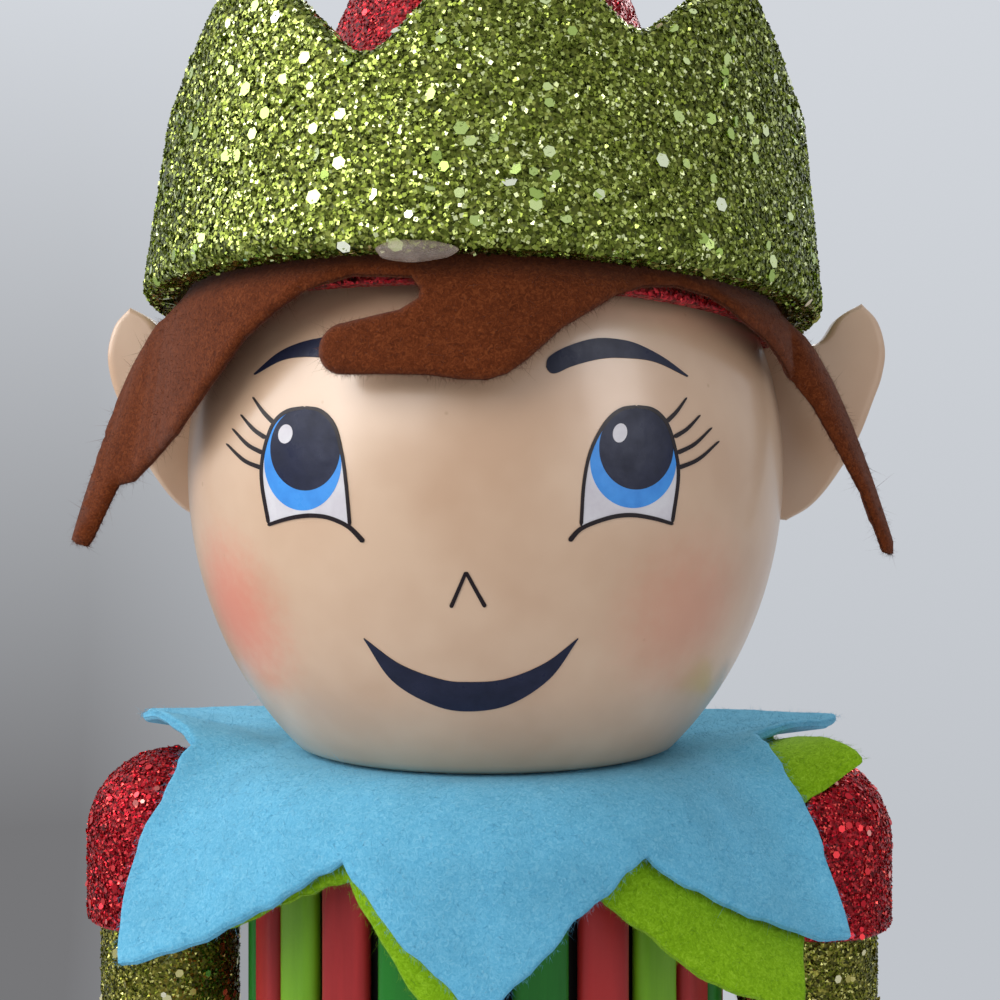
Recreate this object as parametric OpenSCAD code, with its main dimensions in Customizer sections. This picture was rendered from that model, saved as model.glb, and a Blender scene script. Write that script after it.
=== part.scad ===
// Christmas elf nutcracker doll: turned wood, felt collars, felt hair and a glitter hat.
// Millimetres. The figure stands on z = 0 and faces -Y, so its own left side is +X.

/* [Plinth, boots and legs] */
// Radius of the turned plinth
plinth_r = 49; // [46:1:56]
// Height of the plinth
plinth_h = 18; // [15:1:26]
// Height of a boot's shaft
boot_h = 26; // [22:1:34]
// Radius of a boot's shaft
boot_r = 12.6; // [12:0.2:14]
// Reach of a boot's toe in front of the leg's axis
boot_toe = 25; // [20:1:28]
// Length of a trouser leg
leg_h = 84; // [70:1:110]
// Radius of a trouser leg at its top
leg_r = 12; // [10:0.2:13]
// Taper of a trouser leg, from top to bottom
leg_taper = 1.2; // [0:0.2:2]
// Distance of each leg's axis from the middle
leg_x = 15; // [14.6:0.2:17]

/* [Torso] */
// Height of the hip block
hip_h = 18; // [14:1:26]
// Height of the waistband
band_h = 10; // [7:0.5:14]
// How far the waistband stands proud of the slats
band_proud = 0.6; // [0.4:0.1:0.8]
// Length of the slats
slat_h = 56; // [46:1:70]
// Radius of the torso over the slats' flat fronts
torso_r = 29.2; // [28:0.2:32]
// Number of slats round the torso
slat_count = 24; // [24:12:24]
// Thickness of a slat
slat_t = 2.4; // [1.8:0.2:3]
// Gap between neighbouring slats
slat_gap = 0.9; // [0.6:0.1:1.6]
// Height of the tapered shoulder above the slats
shoulder_h = 6.6; // [5:0.2:9]

/* [Felt] */
// Thickness of the felt sheet
felt_t = 1.3; // [1:0.1:1.8]
// Flat radius of the blue collar at its longest point
blue_tip_r = 54.2; // [52:0.2:56]
// Flat radius of the lime collar at its longest point
lime_tip_r = 53.6; // [52:0.2:56]
// Radius of the lime collar's bend over the shoulder
bend_r = 7.5; // [6:0.5:10]
// Gap between the two collars
collar_gap = 0.7; // [0.6:0.1:0.9]
// Reach of the hair locks below the widest part of the head
lock_drop = 11; // [6:0.2:14]
// How far the end of a lock stands off the head
lock_flare = 10; // [8:0.5:12]
// Reach of the fringe below the hat's rim
fringe_drop = 9.2; // [6:0.2:10]

/* [Head and ears] */
// Largest radius of the head
head_r = 36.5; // [35:0.5:40]
// Radius of the flat under the head
head_flat_r = 22.6; // [20:0.2:24]
// Height of the widest part above the flat
head_low_h = 34.4; // [31:0.2:38]
// Height of the crown above the widest part
head_up_h = 40; // [38:0.5:44]
// Thickness of an ear
ear_t = 4.5; // [3:0.25:6]
// Reach of an ear beyond the head's widest radius
ear_reach = 13.1; // [11:0.1:15]
// Height of an ear's point above the head's widest part
ear_up = 20.4; // [18:0.2:22]
// How much deeper the right ear sits than the left
ear_inset = 1.4; // [0:0.2:2]

/* [Hat] */
// Height of the hat's rim above the widest part of the head
rim_rise = 15.8; // [15:0.2:18]
// Width of the hat's rim
rim_w = 3; // [2.4:0.2:4]
// Lean of the felt below the hat's rim, degrees
hat_lean = 4.5; // [3:0.25:5]
// How the hat draws in above its rim, 1 for a straight cone
hat_draw = 0.85; // [0.8:0.05:1]
// Backward tilt of the hat on the head, degrees
hat_back = 3.5; // [0:0.5:5]
// Sideways tilt of the hat towards the figure's left, degrees
hat_side = 1.4; // [0:0.2:3]
// Height of the hat above its rim
hat_h = 79; // [68:1:100]
// Radius of the hat's tip
hat_tip_r = 4; // [3:0.5:6]
// Radius of the ball on the tip
ball_r = 9; // [7:0.5:11]
// Height of the cuff's lower edge above the hat's rim
cuff_rise = 2.6; // [2:0.2:4]
// Thickness of the cuff at its lower edge
cuff_t = 4.2; // [3.6:0.2:5]
// Thickness of the cuff at its points
cuff_top_t = 3; // [2:0.2:3.4]
// Height of the cuff to its points
cuff_h = 35.2; // [30:0.2:40]
// Inward lean of the cuff, degrees
cuff_lean = 6.3; // [5.5:0.1:6.6]

/* [Arms] */
// Radius of a sleeve
sleeve_r = 8.4; // [7.4:0.2:9.2]
// Radius of a domed shoulder cap
cap_r = 10.1; // [9.6:0.1:10.6]
// Rise of the caps above the top of the torso
cap_rise = 2.6; // [2:0.1:3]
// Length of a cap's skirt below the shoulder's axis
cap_skirt = 10.6; // [8:0.2:13]
// Length of an arm from its axis to the end of the sleeve
arm_l = 54; // [46:1:64]
// Height of the cuff at the end of a sleeve
wrist_h = 7; // [5:0.5:10]
// How far that cuff stands proud of the sleeve
wrist_proud = 0.8; // [0.4:0.1:0.9]
// Length of a hand
hand_l = 19; // [15:0.5:24]
// Radius of a hand
hand_r = 7; // [6:0.2:8]

/* [Dowels and clearances] */
// Radius of the leg, arm and hat dowels
dowel_r = 2.5; // [2:0.25:3]
// Radius of the neck and waist dowels
neck_r = 5; // [4:0.5:6]
// Radius of the shoulder pegs that the arms turn on
peg_r = 3; // [2.5:0.25:3.5]
// Depth of a dowel in each piece
dowel_in = 11; // [8:1:12]
// Radial clearance of a peg or a dowel in its hole
fit = 0.05; // [0.03:0.01:0.1]
// Film of glue between wood and felt
glue = 0.1; // [0.05:0.05:0.3]
// Gap between an arm and the torso
arm_gap = 0.4; // [0.3:0.1:1]

/* [Hidden] */
$fn = 96;

// The figure's own left is +X
left = 1;
right = -1;

// Heights, from the plinth up
boot_z = plinth_h;
leg_z = boot_z + boot_h;
hip_z = leg_z + leg_h;
band_z = hip_z + hip_h;
slat_z = band_z + band_h;
slat_top_z = slat_z + slat_h;
torso_top_z = slat_top_z + shoulder_h;
lime_z = torso_top_z + glue;
blue_z = lime_z + felt_t + collar_gap;
head_flat_z = blue_z + felt_t + glue;
head_z = head_flat_z + head_low_h;
crown_z = head_z + head_up_h;
rim_z = head_z + rim_rise;
hat_tip_z = rim_z + hat_h;
cuff_z = rim_z + cuff_rise;

// Torso: the slats lie on the flats of a core with as many sides
core_r = torso_r - slat_t;
slat_pitch = 360 / slat_count;
slat_w = 2 * core_r * tan(slat_pitch / 2) - slat_gap;
hip_r = core_r - 0.6;
torso_top_r = torso_r - 5.2;

// Arms
arm_x = torso_r + arm_gap + cap_r;
shoulder_z = torso_top_z + cap_rise - cap_r;
sleeve_top_z = shoulder_z - cap_skirt;
sleeve_end_z = shoulder_z - arm_l;
wrist_r = sleeve_r + wrist_proud;
hand_top_z = sleeve_end_z - wrist_h;

// Head: two half ellipses that meet at the widest part
head_low_a = head_low_h / sqrt(1 - pow(head_flat_r / head_r, 2));
function head_at(z) = z < head_z ? head_r * sqrt(1 - pow((z - head_z) / head_low_a, 2))
    : head_r * sqrt(max(0, 1 - pow((z - head_z) / head_up_h, 2)));

// Hat, felt and cuff lie on each other like shells
hat_rim_r = head_at(rim_z) + rim_w;
function hat_at(z) = z < rim_z ? hat_rim_r + (rim_z - z) * tan(hat_lean)
    : hat_rim_r + (hat_tip_r - hat_rim_r) * pow((z - rim_z) / hat_h, hat_draw);
function hair_at(z) = max(hat_at(z), head_at(z)) + 4 * glue + felt_t / 2;
cuff_in_r = hat_at(cuff_z) + felt_t + 10 * glue;
hair_top_z = cuff_z + 6;
tilt_z = cuff_z + 0.35 * cuff_h;

// Notches of the cuff: the angle from the front and the height of the lowest point
cuff_cuts = [[-70, 21.4], [-16.5, 20.7], [27, 24.5], [75, 22.4], [126, 22], [180, 22], [236, 22]];

// A point at an angle from the front, positive towards the figure's left
function around(angle, r, z) = [r * sin(angle), -r * cos(angle), z];

// Collar: the angle that the felt hangs down at, for each angle from the front.
// It hangs at the front, lies over the shoulder caps and stands out at the back.
hang = [[0, 80], [25, 76], [35, 67], [45, 59], [55, 52], [60, 49], [65, 41], [70, 27], [75, 14],
    [80, -1], [85, -11], [90, -13.5], [95, -12.5], [100, -9], [105, -5], [110, -3], [120, -2], [180, -1]];

// Edge of each collar: its share of the tip's flat radius, for each angle from the front.
// The points are cut by hand, so they differ, and the lime collar sits a little to the left.
blue_edge = [[-180, 0.99], [-150, 0.69], [-115, 0.99], [-82.5, 0.667], [-77.5, 0.698], [-72.5, 0.743],
    [-67.5, 0.829], [-62.5, 0.935], [-57.5, 1], [-52.5, 0.955], [-42.5, 0.85], [-32.5, 0.753], [-22.5, 0.675],
    [-12.5, 0.794], [-2.5, 0.895], [2.5, 0.947], [12.5, 0.834], [17.5, 0.778], [27.5, 0.698], [32.5, 0.675],
    [37.5, 0.728], [47.5, 0.815], [57.5, 0.915], [62.5, 0.966], [67.5, 0.824], [72.5, 0.738], [77.5, 0.68],
    [82.5, 0.642], [90, 0.63], [115, 0.96], [150, 0.69], [180, 0.99]];
lime_edge = [[-180, 0.89], [-150, 0.66], [-115, 0.84], [-85, 0.64], [-75, 0.67], [-70, 0.735], [-60, 0.905],
    [-42.5, 0.79], [-32.5, 0.71], [-22.5, 0.669], [-12.5, 0.817], [-2.5, 0.95], [2.5, 0.9], [17.5, 0.66],
    [22.5, 0.68], [32.5, 0.79], [42.5, 0.92], [52.5, 1], [57.5, 0.912], [62.5, 0.833], [67.5, 0.76],
    [72.5, 0.696], [77.5, 0.748], [82.5, 0.854], [92.5, 0.754], [100, 0.69], [125, 0.85], [150, 0.66],
    [180, 0.89]];
bend_start_r = torso_top_r + 1;
collar_step = 5;
bend_rows = 3;
free_rows = 3;

// A collar's felt runs flat from the neck, bends with one radius and then runs straight.
// The result is its radius, its drop and its slope at a flat radius s.
function drape(s, angle, bend) =
    let (full = abs(angle), side = sign(angle),
        turned = min(full, max(0, s - bend_start_r) * 180 / PI / bend),
        straight = max(0, s - bend_start_r - bend * full * PI / 180))
    [min(s, bend_start_r) + bend * sin(turned) + straight * cos(turned),
        side * (bend * (1 - cos(turned)) + straight * sin(turned)), side * turned];

// One face of a collar: a row at the neck's hole, rows round the bend and rows down to the edge
function collar_face(z, layer, tip_r, shares, offset) =
    [for (row = [-1 : bend_rows + free_rows]) [for (angle = [collar_step / 2 - 180 : collar_step : 180])
        let (tilt = lookup(abs(angle), hang), edge = tip_r * lookup(angle, shares),
            bend = bend_r + (tilt > 0 ? layer : 1 - layer) * (felt_t + collar_gap),
            bent_r = min(edge - 0.5, bend_start_r + bend * abs(tilt) * PI / 180),
            s = row < 0 ? neck_r + 3 * glue : row < bend_rows
                ? bend_start_r + (bent_r - bend_start_r) * row / bend_rows
                : bent_r + (edge - bent_r) * (row - bend_rows) / free_rows,
            path = drape(s, tilt, bend))
        around(angle, path[0] + offset * sin(path[2]), z - path[1] + offset * cos(path[2]))]];

// Hair: the sheet carries on down from the hat's side. Each lock's free edge is a few points:
// its angle under the cuff, its angle below, its share of the stand-off and its share of the drop.
right_lock_edge = [[-89, -79.5, 0.87, 0.92], [-86.5, -79, 0.81, 1], [-84, -78.3, 0.69, 1.01],
    [-82, -78, 0.64, 0.98], [-80, -77.6, 0.52, 0.85], [-78, -77.2, 0.41, 0.735], [-76, -75, 0.24, 0.72],
    [-73, -70, 0.07, 0.645], [-65, -65, 0, 0.595], [-57, -57, 0, 0.545], [-50, -50, 0, 0.437],
    [-43.5, -43.5, 0, 0.313], [-38, -38, 0, 0.19], [-32, -32, 0, 0.105], [-26.5, -26.5, 0, 0.033]];
left_lock_edge = [[36.5, 36.5, 0, -0.05], [44, 44, 0, -0.035], [51, 51, 0, 0.04], [60, 60, 0, 0.097],
    [71, 73.7, 0, 0.172], [74, 75, 0.24, 0.33], [77, 77, 0.48, 0.535], [80, 79, 0.66, 0.69],
    [82.5, 80.5, 0.86, 0.94], [85.5, 82, 1, 0.95], [88.5, 84, 1, 0.92]];
lock_rows = 8;
lock_top = 2 / lock_rows;
lock_fall = rim_rise + lock_drop;
lock_curl = 0.45;

function lock_point(edge, v) =
    let (free = max(0, (v - lock_top) / (1 - lock_top)),
        free_z = cuff_z - felt_t * (0.3 + 1.3 * min(1, 4 * edge[2])),
        z = v < lock_top ? hair_top_z + (free_z - hair_top_z) * v / lock_top
            : free_z + (rim_z - edge[3] * lock_fall - free_z) * free)
    around(edge[0] + (edge[1] - edge[0]) * free, hair_at(z) + edge[2] * lock_flare * pow(free, lock_curl), z);
// A lock's edge with points between its own
function finer(edges, n) = [for (i = [0 : n * (len(edges) - 1)])
    let (j = min(floor(i / n), len(edges) - 2)) edges[j] + (edges[j + 1] - edges[j]) * (i / n - j)];
function lock_face(edges, offset) = [for (i = [0 : lock_rows]) [for (j = [0 : len(edges) - 1])
    let (v = i / lock_rows, near = max(j - 1, 0), far = min(j + 1, len(edges) - 1),
        down = lock_point(edges[j], min(v + 0.05, 1)) - lock_point(edges[j], max(v - 0.05, 0)),
        along = lock_point(edges[far], v) - lock_point(edges[near], v), out = cross(down, along))
    lock_point(edges[j], v) + offset * out / norm(out)]];

// Fringe: its lower outline from the figure's left to its right, as shares of the rim's radius
// across and of the fringe's drop above the rim
function in_fringe(points) = [for (p = points) [p[0] * hat_rim_r, p[1] * fringe_drop]];
fringe_left = hat_rim_r * sin(left_lock_edge[0][0]) - 0.6;
fringe_right = hat_rim_r * sin(right_lock_edge[len(right_lock_edge) - 1][0]) + 0.6;
finger_r = 0.284 * fringe_drop;
finger_at = in_fringe([[-0.339, -0.693]])[0];
fringe_edge = concat(in_fringe([[0.492, 0.08], [0.406, -0.09], [0.264, -0.5], [0.153, -0.84], [0.039, -1]]),
    arc(finger_at - [0, finger_r], finger_at - [finger_r, 0], finger_at + [0, finger_r], 10),
    in_fringe([[-0.189, -0.307], [-0.131, -0.148], [-0.161, 0.034]]));

// The hat, its cuff and the hair under it sit a little tilted on the head
module tilted() {
    translate([0, 0, tilt_z]) rotate([-hat_back, hat_side, 0]) translate([0, 0, -tilt_z]) children();
}

// A felt sheet between an outer and an inner grid of points, open or closed round
module felt_sheet(outer, inner, closed) {
    rows = len(outer);
    cols = len(outer[0]);
    last = closed ? cols - 1 : cols - 2;
    function at(side, i, j) = (side * rows + i) * cols + j % cols;
    function split(a, b, c, d) = [[a, b, c], [a, c, d]];
    faces = [
        for (i = [0 : rows - 2]) for (j = [0 : last]) for (f = concat(
            split(at(0, i, j), at(0, i, j + 1), at(0, i + 1, j + 1), at(0, i + 1, j)),
            split(at(1, i + 1, j), at(1, i + 1, j + 1), at(1, i, j + 1), at(1, i, j)))) f,
        for (j = [0 : last]) for (f = concat(
            split(at(0, 0, j + 1), at(0, 0, j), at(1, 0, j), at(1, 0, j + 1)),
            split(at(0, rows - 1, j), at(0, rows - 1, j + 1), at(1, rows - 1, j + 1), at(1, rows - 1, j)))) f,
        if (!closed) for (i = [0 : rows - 2]) for (f = concat(
            split(at(0, i, 0), at(0, i + 1, 0), at(1, i + 1, 0), at(1, i, 0)),
            split(at(0, i + 1, cols - 1), at(0, i, cols - 1), at(1, i, cols - 1), at(1, i + 1, cols - 1)))) f];
    polyhedron([for (side = [outer, inner]) for (row = side) each row], faces);
}

// Points on the arc from a to c through b, turning the way that b asks
function arc(a, b, c, n) =
    let (d = 2 * (a[0] * (b[1] - c[1]) + b[0] * (c[1] - a[1]) + c[0] * (a[1] - b[1])),
        x = (a * a * (b[1] - c[1]) + b * b * (c[1] - a[1]) + c * c * (a[1] - b[1])) / d,
        y = (a * a * (c[0] - b[0]) + b * b * (a[0] - c[0]) + c * c * (b[0] - a[0])) / d,
        from = atan2(a[1] - y, a[0] - x), ahead = (atan2(c[1] - y, c[0] - x) - from + 720) % 360,
        turn = cross(b - a, c - b) > 0 ? ahead : ahead - 360, r = norm(a - [x, y]))
    [for (i = [0 : n]) [x, y] + r * [cos(from + turn * i / n), sin(from + turn * i / n)]];

// An upright hole for a dowel, from one height to another
module hole(r, z0, z1, x = 0) {
    translate([x, 0, z0]) cylinder(r = r + fit, h = z1 - z0);
}

module plinth() {
    top_r = plinth_r - 6;
    foot_h = plinth_h * 0.4;
    cove_r = 4;
    color("darkgreen") difference() {
        rotate_extrude() difference() {
            polygon([[0, 0], [plinth_r - 1, 0], [plinth_r, 1], [plinth_r, foot_h - 1], [plinth_r - 1, foot_h],
                [top_r, foot_h + 1], [top_r, plinth_h - 1.5], [top_r - 1.5, plinth_h], [0, plinth_h]]);
            translate([top_r + cove_r - 1.4, foot_h + 1 + cove_r]) circle(cove_r, $fn = 48);
        }
        for (side = [left, right]) hole(dowel_r, plinth_h - dowel_in, plinth_h + 1, side * leg_x);
    }
}

module boot(side) {
    toe_r = boot_r * 0.86;
    color("olivedrab") translate([side * leg_x, 0, boot_z]) difference() {
        union() {
            cylinder(r = boot_r, h = boot_h);
            translate([0, 0, boot_h - 5]) cylinder(r = boot_r + 1, h = 5);
            intersection() {
                hull() for (reach = [0, boot_toe - toe_r]) translate([0, -reach, toe_r * 0.35])
                    sphere(toe_r, $fn = 32);
                translate([-boot_r, -boot_toe - 1, 0]) cube([2 * boot_r, boot_toe + 1 + boot_r, boot_h]);
            }
        }
        hole(dowel_r, -1, boot_h + 1);
    }
}

module leg(side) {
    color("firebrick") translate([side * leg_x, 0, leg_z]) difference() {
        cylinder(r1 = leg_r - leg_taper, r2 = leg_r, h = leg_h);
        hole(dowel_r, -1, leg_h + 1);
    }
}

module leg_dowels() {
    color("burlywood") for (side = [left, right]) translate([side * leg_x, 0, plinth_h - dowel_in])
        cylinder(r = dowel_r, h = hip_z + dowel_in - (plinth_h - dowel_in));
}

module hip_block() {
    color("firebrick") difference() {
        rotate_extrude() polygon([[0, hip_z], [hip_r - 4, hip_z], [hip_r - 1.2, hip_z + 1.2],
            [hip_r, hip_z + 4], [hip_r, band_z], [0, band_z]]);
        for (side = [left, right]) hole(dowel_r, hip_z - 1, hip_z + dowel_in, side * leg_x);
        hole(neck_r, band_z - dowel_in, band_z + 1);
    }
}

module waist_dowel() {
    color("burlywood") translate([0, 0, band_z - dowel_in]) cylinder(r = neck_r, h = 2 * dowel_in);
}

module waistband() {
    band_r = torso_r + band_proud;
    color("black") rotate_extrude() polygon([[hip_r + glue, band_z], [band_r - 0.8, band_z],
        [band_r, band_z + 0.8], [band_r, slat_z - glue - 0.8], [band_r - 0.8, slat_z - glue],
        [hip_r + glue, slat_z - glue]]);
}

module torso_core() {
    corner_r = core_r / cos(slat_pitch / 2);
    color("saddlebrown") difference() {
        union() {
            translate([0, 0, band_z]) cylinder(r = hip_r, h = band_h);
            translate([0, 0, slat_z]) linear_extrude(slat_h)
                polygon([for (i = [0 : slat_count - 1]) corner_r * [sin((i + 0.5) * slat_pitch),
                    -cos((i + 0.5) * slat_pitch)]]);
            translate([0, 0, slat_top_z]) cylinder(r1 = core_r, r2 = torso_top_r, h = shoulder_h);
        }
        hole(neck_r, band_z - 1, band_z + dowel_in);
        hole(neck_r, torso_top_z - dowel_in, torso_top_z + 1);
        for (side = [left, right]) peg_hole(side, torso_r - dowel_in, torso_r);
    }
}

// A hole along the shoulder's axis, between two distances from the middle
module peg_hole(side, x0, x1) {
    translate([side * x0, 0, shoulder_z]) rotate([0, side * 90, 0]) cylinder(r = peg_r + fit, h = x1 - x0);
}

// A flat slat with round edges, laid on one flat of the torso core
module slat(i) {
    flat_w = slat_w - slat_t;
    rotate([0, 0, i * slat_pitch]) translate([0, -core_r - slat_t / 2, slat_z]) linear_extrude(slat_h) {
        square([flat_w, slat_t], center = true);
        for (x = [-flat_w / 2, flat_w / 2]) translate([x, 0]) circle(slat_t / 2, $fn = 24);
    }
}

// Every other slat is red. Between them dark green and lime take turns.
module red_slats() {
    color("firebrick") difference() {
        for (i = [0 : 2 : slat_count - 1]) slat(i);
        for (side = [left, right]) peg_hole(side, core_r - 1, torso_r + 1);
    }
}

module dark_green_slats() {
    color("darkgreen") for (i = [1 : 2 : slat_count / 2]) if (i % 4 == 1) for (way = [1, -1]) slat(way * i);
}

module lime_slats() {
    color("yellowgreen") for (i = [1 : 2 : slat_count / 2]) if (i % 4 == 3) for (way = [1, -1]) slat(way * i);
}

module neck_dowel() {
    color("burlywood") translate([0, 0, torso_top_z - dowel_in])
        cylinder(r = neck_r, h = head_flat_z + dowel_in - (torso_top_z - dowel_in));
}

module lime_collar() {
    color("yellowgreen") felt_sheet(collar_face(lime_z, 0, lime_tip_r, lime_edge, felt_t),
        collar_face(lime_z, 0, lime_tip_r, lime_edge, 0), true);
}

module blue_collar() {
    color("skyblue") felt_sheet(collar_face(blue_z, 1, blue_tip_r, blue_edge, felt_t),
        collar_face(blue_z, 1, blue_tip_r, blue_edge, 0), true);
}

// The head's turned form, grown all round by a clearance
module head_form(grow) {
    low_turn = asin(head_low_h / head_low_a);
    steps = 16;
    rotate_extrude() polygon(concat([[0, head_flat_z - grow]],
        [for (i = [0 : steps]) let (a = -low_turn * (1 - i / steps))
            [(head_r + grow) * cos(a), head_z + (head_low_a + grow) * sin(a)]],
        [for (i = [1 : steps]) let (a = 90 * i / steps)
            [(head_r + grow) * cos(a), head_z + (head_up_h + grow) * sin(a)]]));
}

module head() {
    color("burlywood") difference() {
        head_form(0);
        hole(neck_r, head_flat_z - 1, head_flat_z + dowel_in);
        tilted() hole(dowel_r, crown_z - dowel_in, crown_z + 1);
    }
}

// A flat leaf-shaped ear, cut to the head and glued on: a round top and a long lower side
module ear(side) {
    seat = head_r - (side < 0 ? ear_inset : 0);
    at = [for (p = [[0.78, 1], [1, 0.72], [0.893, 0.417], [0.51, -0.074], [0.07, -0.32],
        [-0.44, -0.29], [-0.44, 0.63], [0.344, 0.755], [0.565, 0.917]]) [p[0] * ear_reach, p[1] * ear_up]];
    lower = arc(at[2], at[3], at[4], 8);
    outline = concat(arc(at[0], at[1], at[2], 8), [for (i = [1 : 8]) lower[i]], [for (i = [5 : 8]) at[i]]);
    color("burlywood") difference() {
        translate([0, 1.22 * ear_t, head_z]) rotate([90, 0, 0]) linear_extrude(ear_t)
            polygon([for (p = outline) [side * (seat + p[0]), p[1]]]);
        head_form(glue / 2);
    }
}

module felt_fringe() {
    z0 = rim_z + finger_at[1] - 2 * finger_r;
    heights = [z0, rim_z, cuff_z, hair_top_z];
    top = hat_at(hair_top_z) / hat_rim_r;
    color("sienna") tilted() intersection() {
        rotate_extrude() polygon(concat([for (z = heights) [hat_at(z) + glue, z]],
            [for (i = [len(heights) - 1 : -1 : 0]) [hat_at(heights[i]) + glue + felt_t, heights[i]]]));
        rotate([90, 0, 0]) linear_extrude(hat_rim_r + 10) translate([0, rim_z])
            polygon(concat([[fringe_left * top, hair_top_z - rim_z], [fringe_left, 0.5]], fringe_edge,
                [[fringe_right, 0.3], [fringe_right * top, hair_top_z - rim_z]]));
    }
}

module hair_lock(edges) {
    columns = finer(edges, 2);
    color("sienna") tilted()
        felt_sheet(lock_face(columns, felt_t / 2), lock_face(columns, -felt_t / 2), false);
}

module left_hair_lock() {
    hair_lock(left_lock_edge);
}

module right_hair_lock() {
    hair_lock(right_lock_edge);
}

// The hat is a cone that draws in a little towards its tip
module hat_cone() {
    steps = 12;
    worn = 0.8;
    heights = concat([rim_z + worn, cuff_z],
        [for (i = [0 : steps]) hair_top_z + (hat_tip_z - hair_top_z) * i / steps]);
    color("crimson") difference() {
        tilted() rotate_extrude() polygon(concat([[0, rim_z], [hat_rim_r - worn, rim_z]],
            [for (z = heights) [hat_at(z), z]], [[0, hat_tip_z]]));
        head_form(glue);
        tilted() hole(dowel_r, crown_z - 1, crown_z + dowel_in);
    }
}

module hat_dowel() {
    color("burlywood") tilted() translate([0, 0, crown_z - dowel_in]) cylinder(r = dowel_r, h = 2 * dowel_in);
}

// One notch of the cuff, with a round bottom, from halfway to the notch before to halfway to the next
module cuff_notch(i) {
    count = len(cuff_cuts);
    angle = cuff_cuts[i][0];
    height = cuff_cuts[i][1];
    round_r = 4;
    depth = cuff_h - height + 0.5;
    gaps = [(angle - cuff_cuts[(i + count - 1) % count][0] + 360) % 360,
        (cuff_cuts[(i + 1) % count][0] - angle + 360) % 360];
    half = [for (gap = gaps) (cuff_in_r + cuff_t) * sin(gap / 2) - 1];
    slope = [for (reach = half) atan2(depth, reach)];
    low = [for (a = slope) round_r * [sin(a), 1 - cos(a)]];
    rotate([0, 0, angle]) translate([0, 0, cuff_z + height]) rotate([90, 0, 0])
        linear_extrude(cuff_in_r + cuff_t + 1) polygon(concat(
            arc([-low[0][0], low[0][1]], [0, 0], low[1], 8), [[half[1], depth], [-half[0], depth]]));
}

// The cuff's upper edge is cut into points with round notches between them
module hat_cuff() {
    out_r = cuff_in_r + cuff_t;
    top_r = out_r - cuff_h * tan(cuff_lean);
    color("olivedrab") tilted() difference() {
        rotate_extrude() polygon([[cuff_in_r, cuff_z], [out_r, cuff_z],
            [top_r, cuff_z + cuff_h], [top_r - cuff_top_t, cuff_z + cuff_h]]);
        for (i = [0 : len(cuff_cuts) - 1]) cuff_notch(i);
    }
}

module hat_ball() {
    color("olivedrab") tilted() difference() {
        translate([0, 0, hat_tip_z + sqrt(ball_r * ball_r - hat_tip_r * hat_tip_r)]) sphere(ball_r);
        translate([-ball_r, -ball_r, hat_tip_z - ball_r]) cube([2 * ball_r, 2 * ball_r, ball_r]);
    }
}

module shoulder_pegs() {
    color("burlywood") for (side = [left, right]) translate([side * (torso_r - dowel_in), 0, shoulder_z])
        rotate([0, side * 90, 0]) cylinder(r = peg_r, h = arm_x - torso_r + dowel_in + 2);
}

// A shoulder cap is a dome on a short skirt, bored from the torso's side for its peg
module shoulder_cap(side) {
    color("crimson") difference() {
        union() {
            translate([side * arm_x, 0, shoulder_z]) sphere(cap_r);
            translate([side * arm_x, 0, sleeve_top_z]) cylinder(r = cap_r, h = cap_skirt);
        }
        peg_hole(side, torso_r, arm_x + 2.5);
        hole(dowel_r, sleeve_top_z - 1, sleeve_top_z + cap_skirt / 2, side * arm_x);
    }
}

module arm_dowel(side) {
    color("burlywood") translate([side * arm_x, 0, sleeve_top_z - dowel_in])
        cylinder(r = dowel_r, h = dowel_in + cap_skirt / 2);
}

module sleeve(side) {
    color("darkkhaki") difference() {
        translate([side * arm_x, 0, sleeve_end_z]) cylinder(r = sleeve_r, h = sleeve_top_z - sleeve_end_z);
        hole(dowel_r, sleeve_top_z - dowel_in, sleeve_top_z + 1, side * arm_x);
        hole(dowel_r, sleeve_end_z - 1, sleeve_end_z + dowel_in, side * arm_x);
    }
}

module wrist_cuff(side) {
    color("crimson") translate([side * arm_x, 0, hand_top_z]) difference() {
        rotate_extrude() polygon([[0, 0], [wrist_r - 0.8, 0], [wrist_r, 0.8], [wrist_r, wrist_h - 0.8],
            [wrist_r - 0.8, wrist_h], [0, wrist_h]]);
        hole(dowel_r, -1, wrist_h + 1);
    }
}

module wrist_dowel(side) {
    color("burlywood") translate([side * arm_x, 0, hand_top_z - dowel_in])
        cylinder(r = dowel_r, h = wrist_h + 2 * dowel_in);
}

// A turned mitten hand: a short wrist, then a full round palm
module hand(side) {
    steps = 10;
    color("burlywood") translate([side * arm_x, 0, hand_top_z]) difference() {
        rotate_extrude() polygon(concat([[0, 0], [hand_r * 0.72, 0]],
            [for (i = [0 : steps]) let (a = 45 - 135 * i / steps)
                [hand_r * cos(a), (hand_l - hand_r) * 0.55 * sin(a) - hand_l + (hand_l - hand_r) * 0.55]]));
        hole(dowel_r, -dowel_in, 1);
    }
}

plinth();
boot(left);  // left_boot
boot(right);  // right_boot
leg(left);  // left_leg
leg(right);  // right_leg
leg_dowels();
hip_block();
waist_dowel();
waistband();
torso_core();
red_slats();
dark_green_slats();
lime_slats();
neck_dowel();
lime_collar();
blue_collar();
head();
ear(left);  // left_ear
ear(right);  // right_ear
felt_fringe();
left_hair_lock();
right_hair_lock();
hat_cone();
hat_dowel();
hat_cuff();
hat_ball();
shoulder_pegs();
shoulder_cap(left);  // left_shoulder_cap
arm_dowel(left);  // left_arm_dowel
sleeve(left);  // left_sleeve
wrist_cuff(left);  // left_wrist_cuff
wrist_dowel(left);  // left_wrist_dowel
hand(left);  // left_hand
shoulder_cap(right);  // right_shoulder_cap
arm_dowel(right);  // right_arm_dowel
sleeve(right);  // right_sleeve
wrist_cuff(right);  // right_wrist_cuff
wrist_dowel(right);  // right_wrist_dowel
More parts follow.
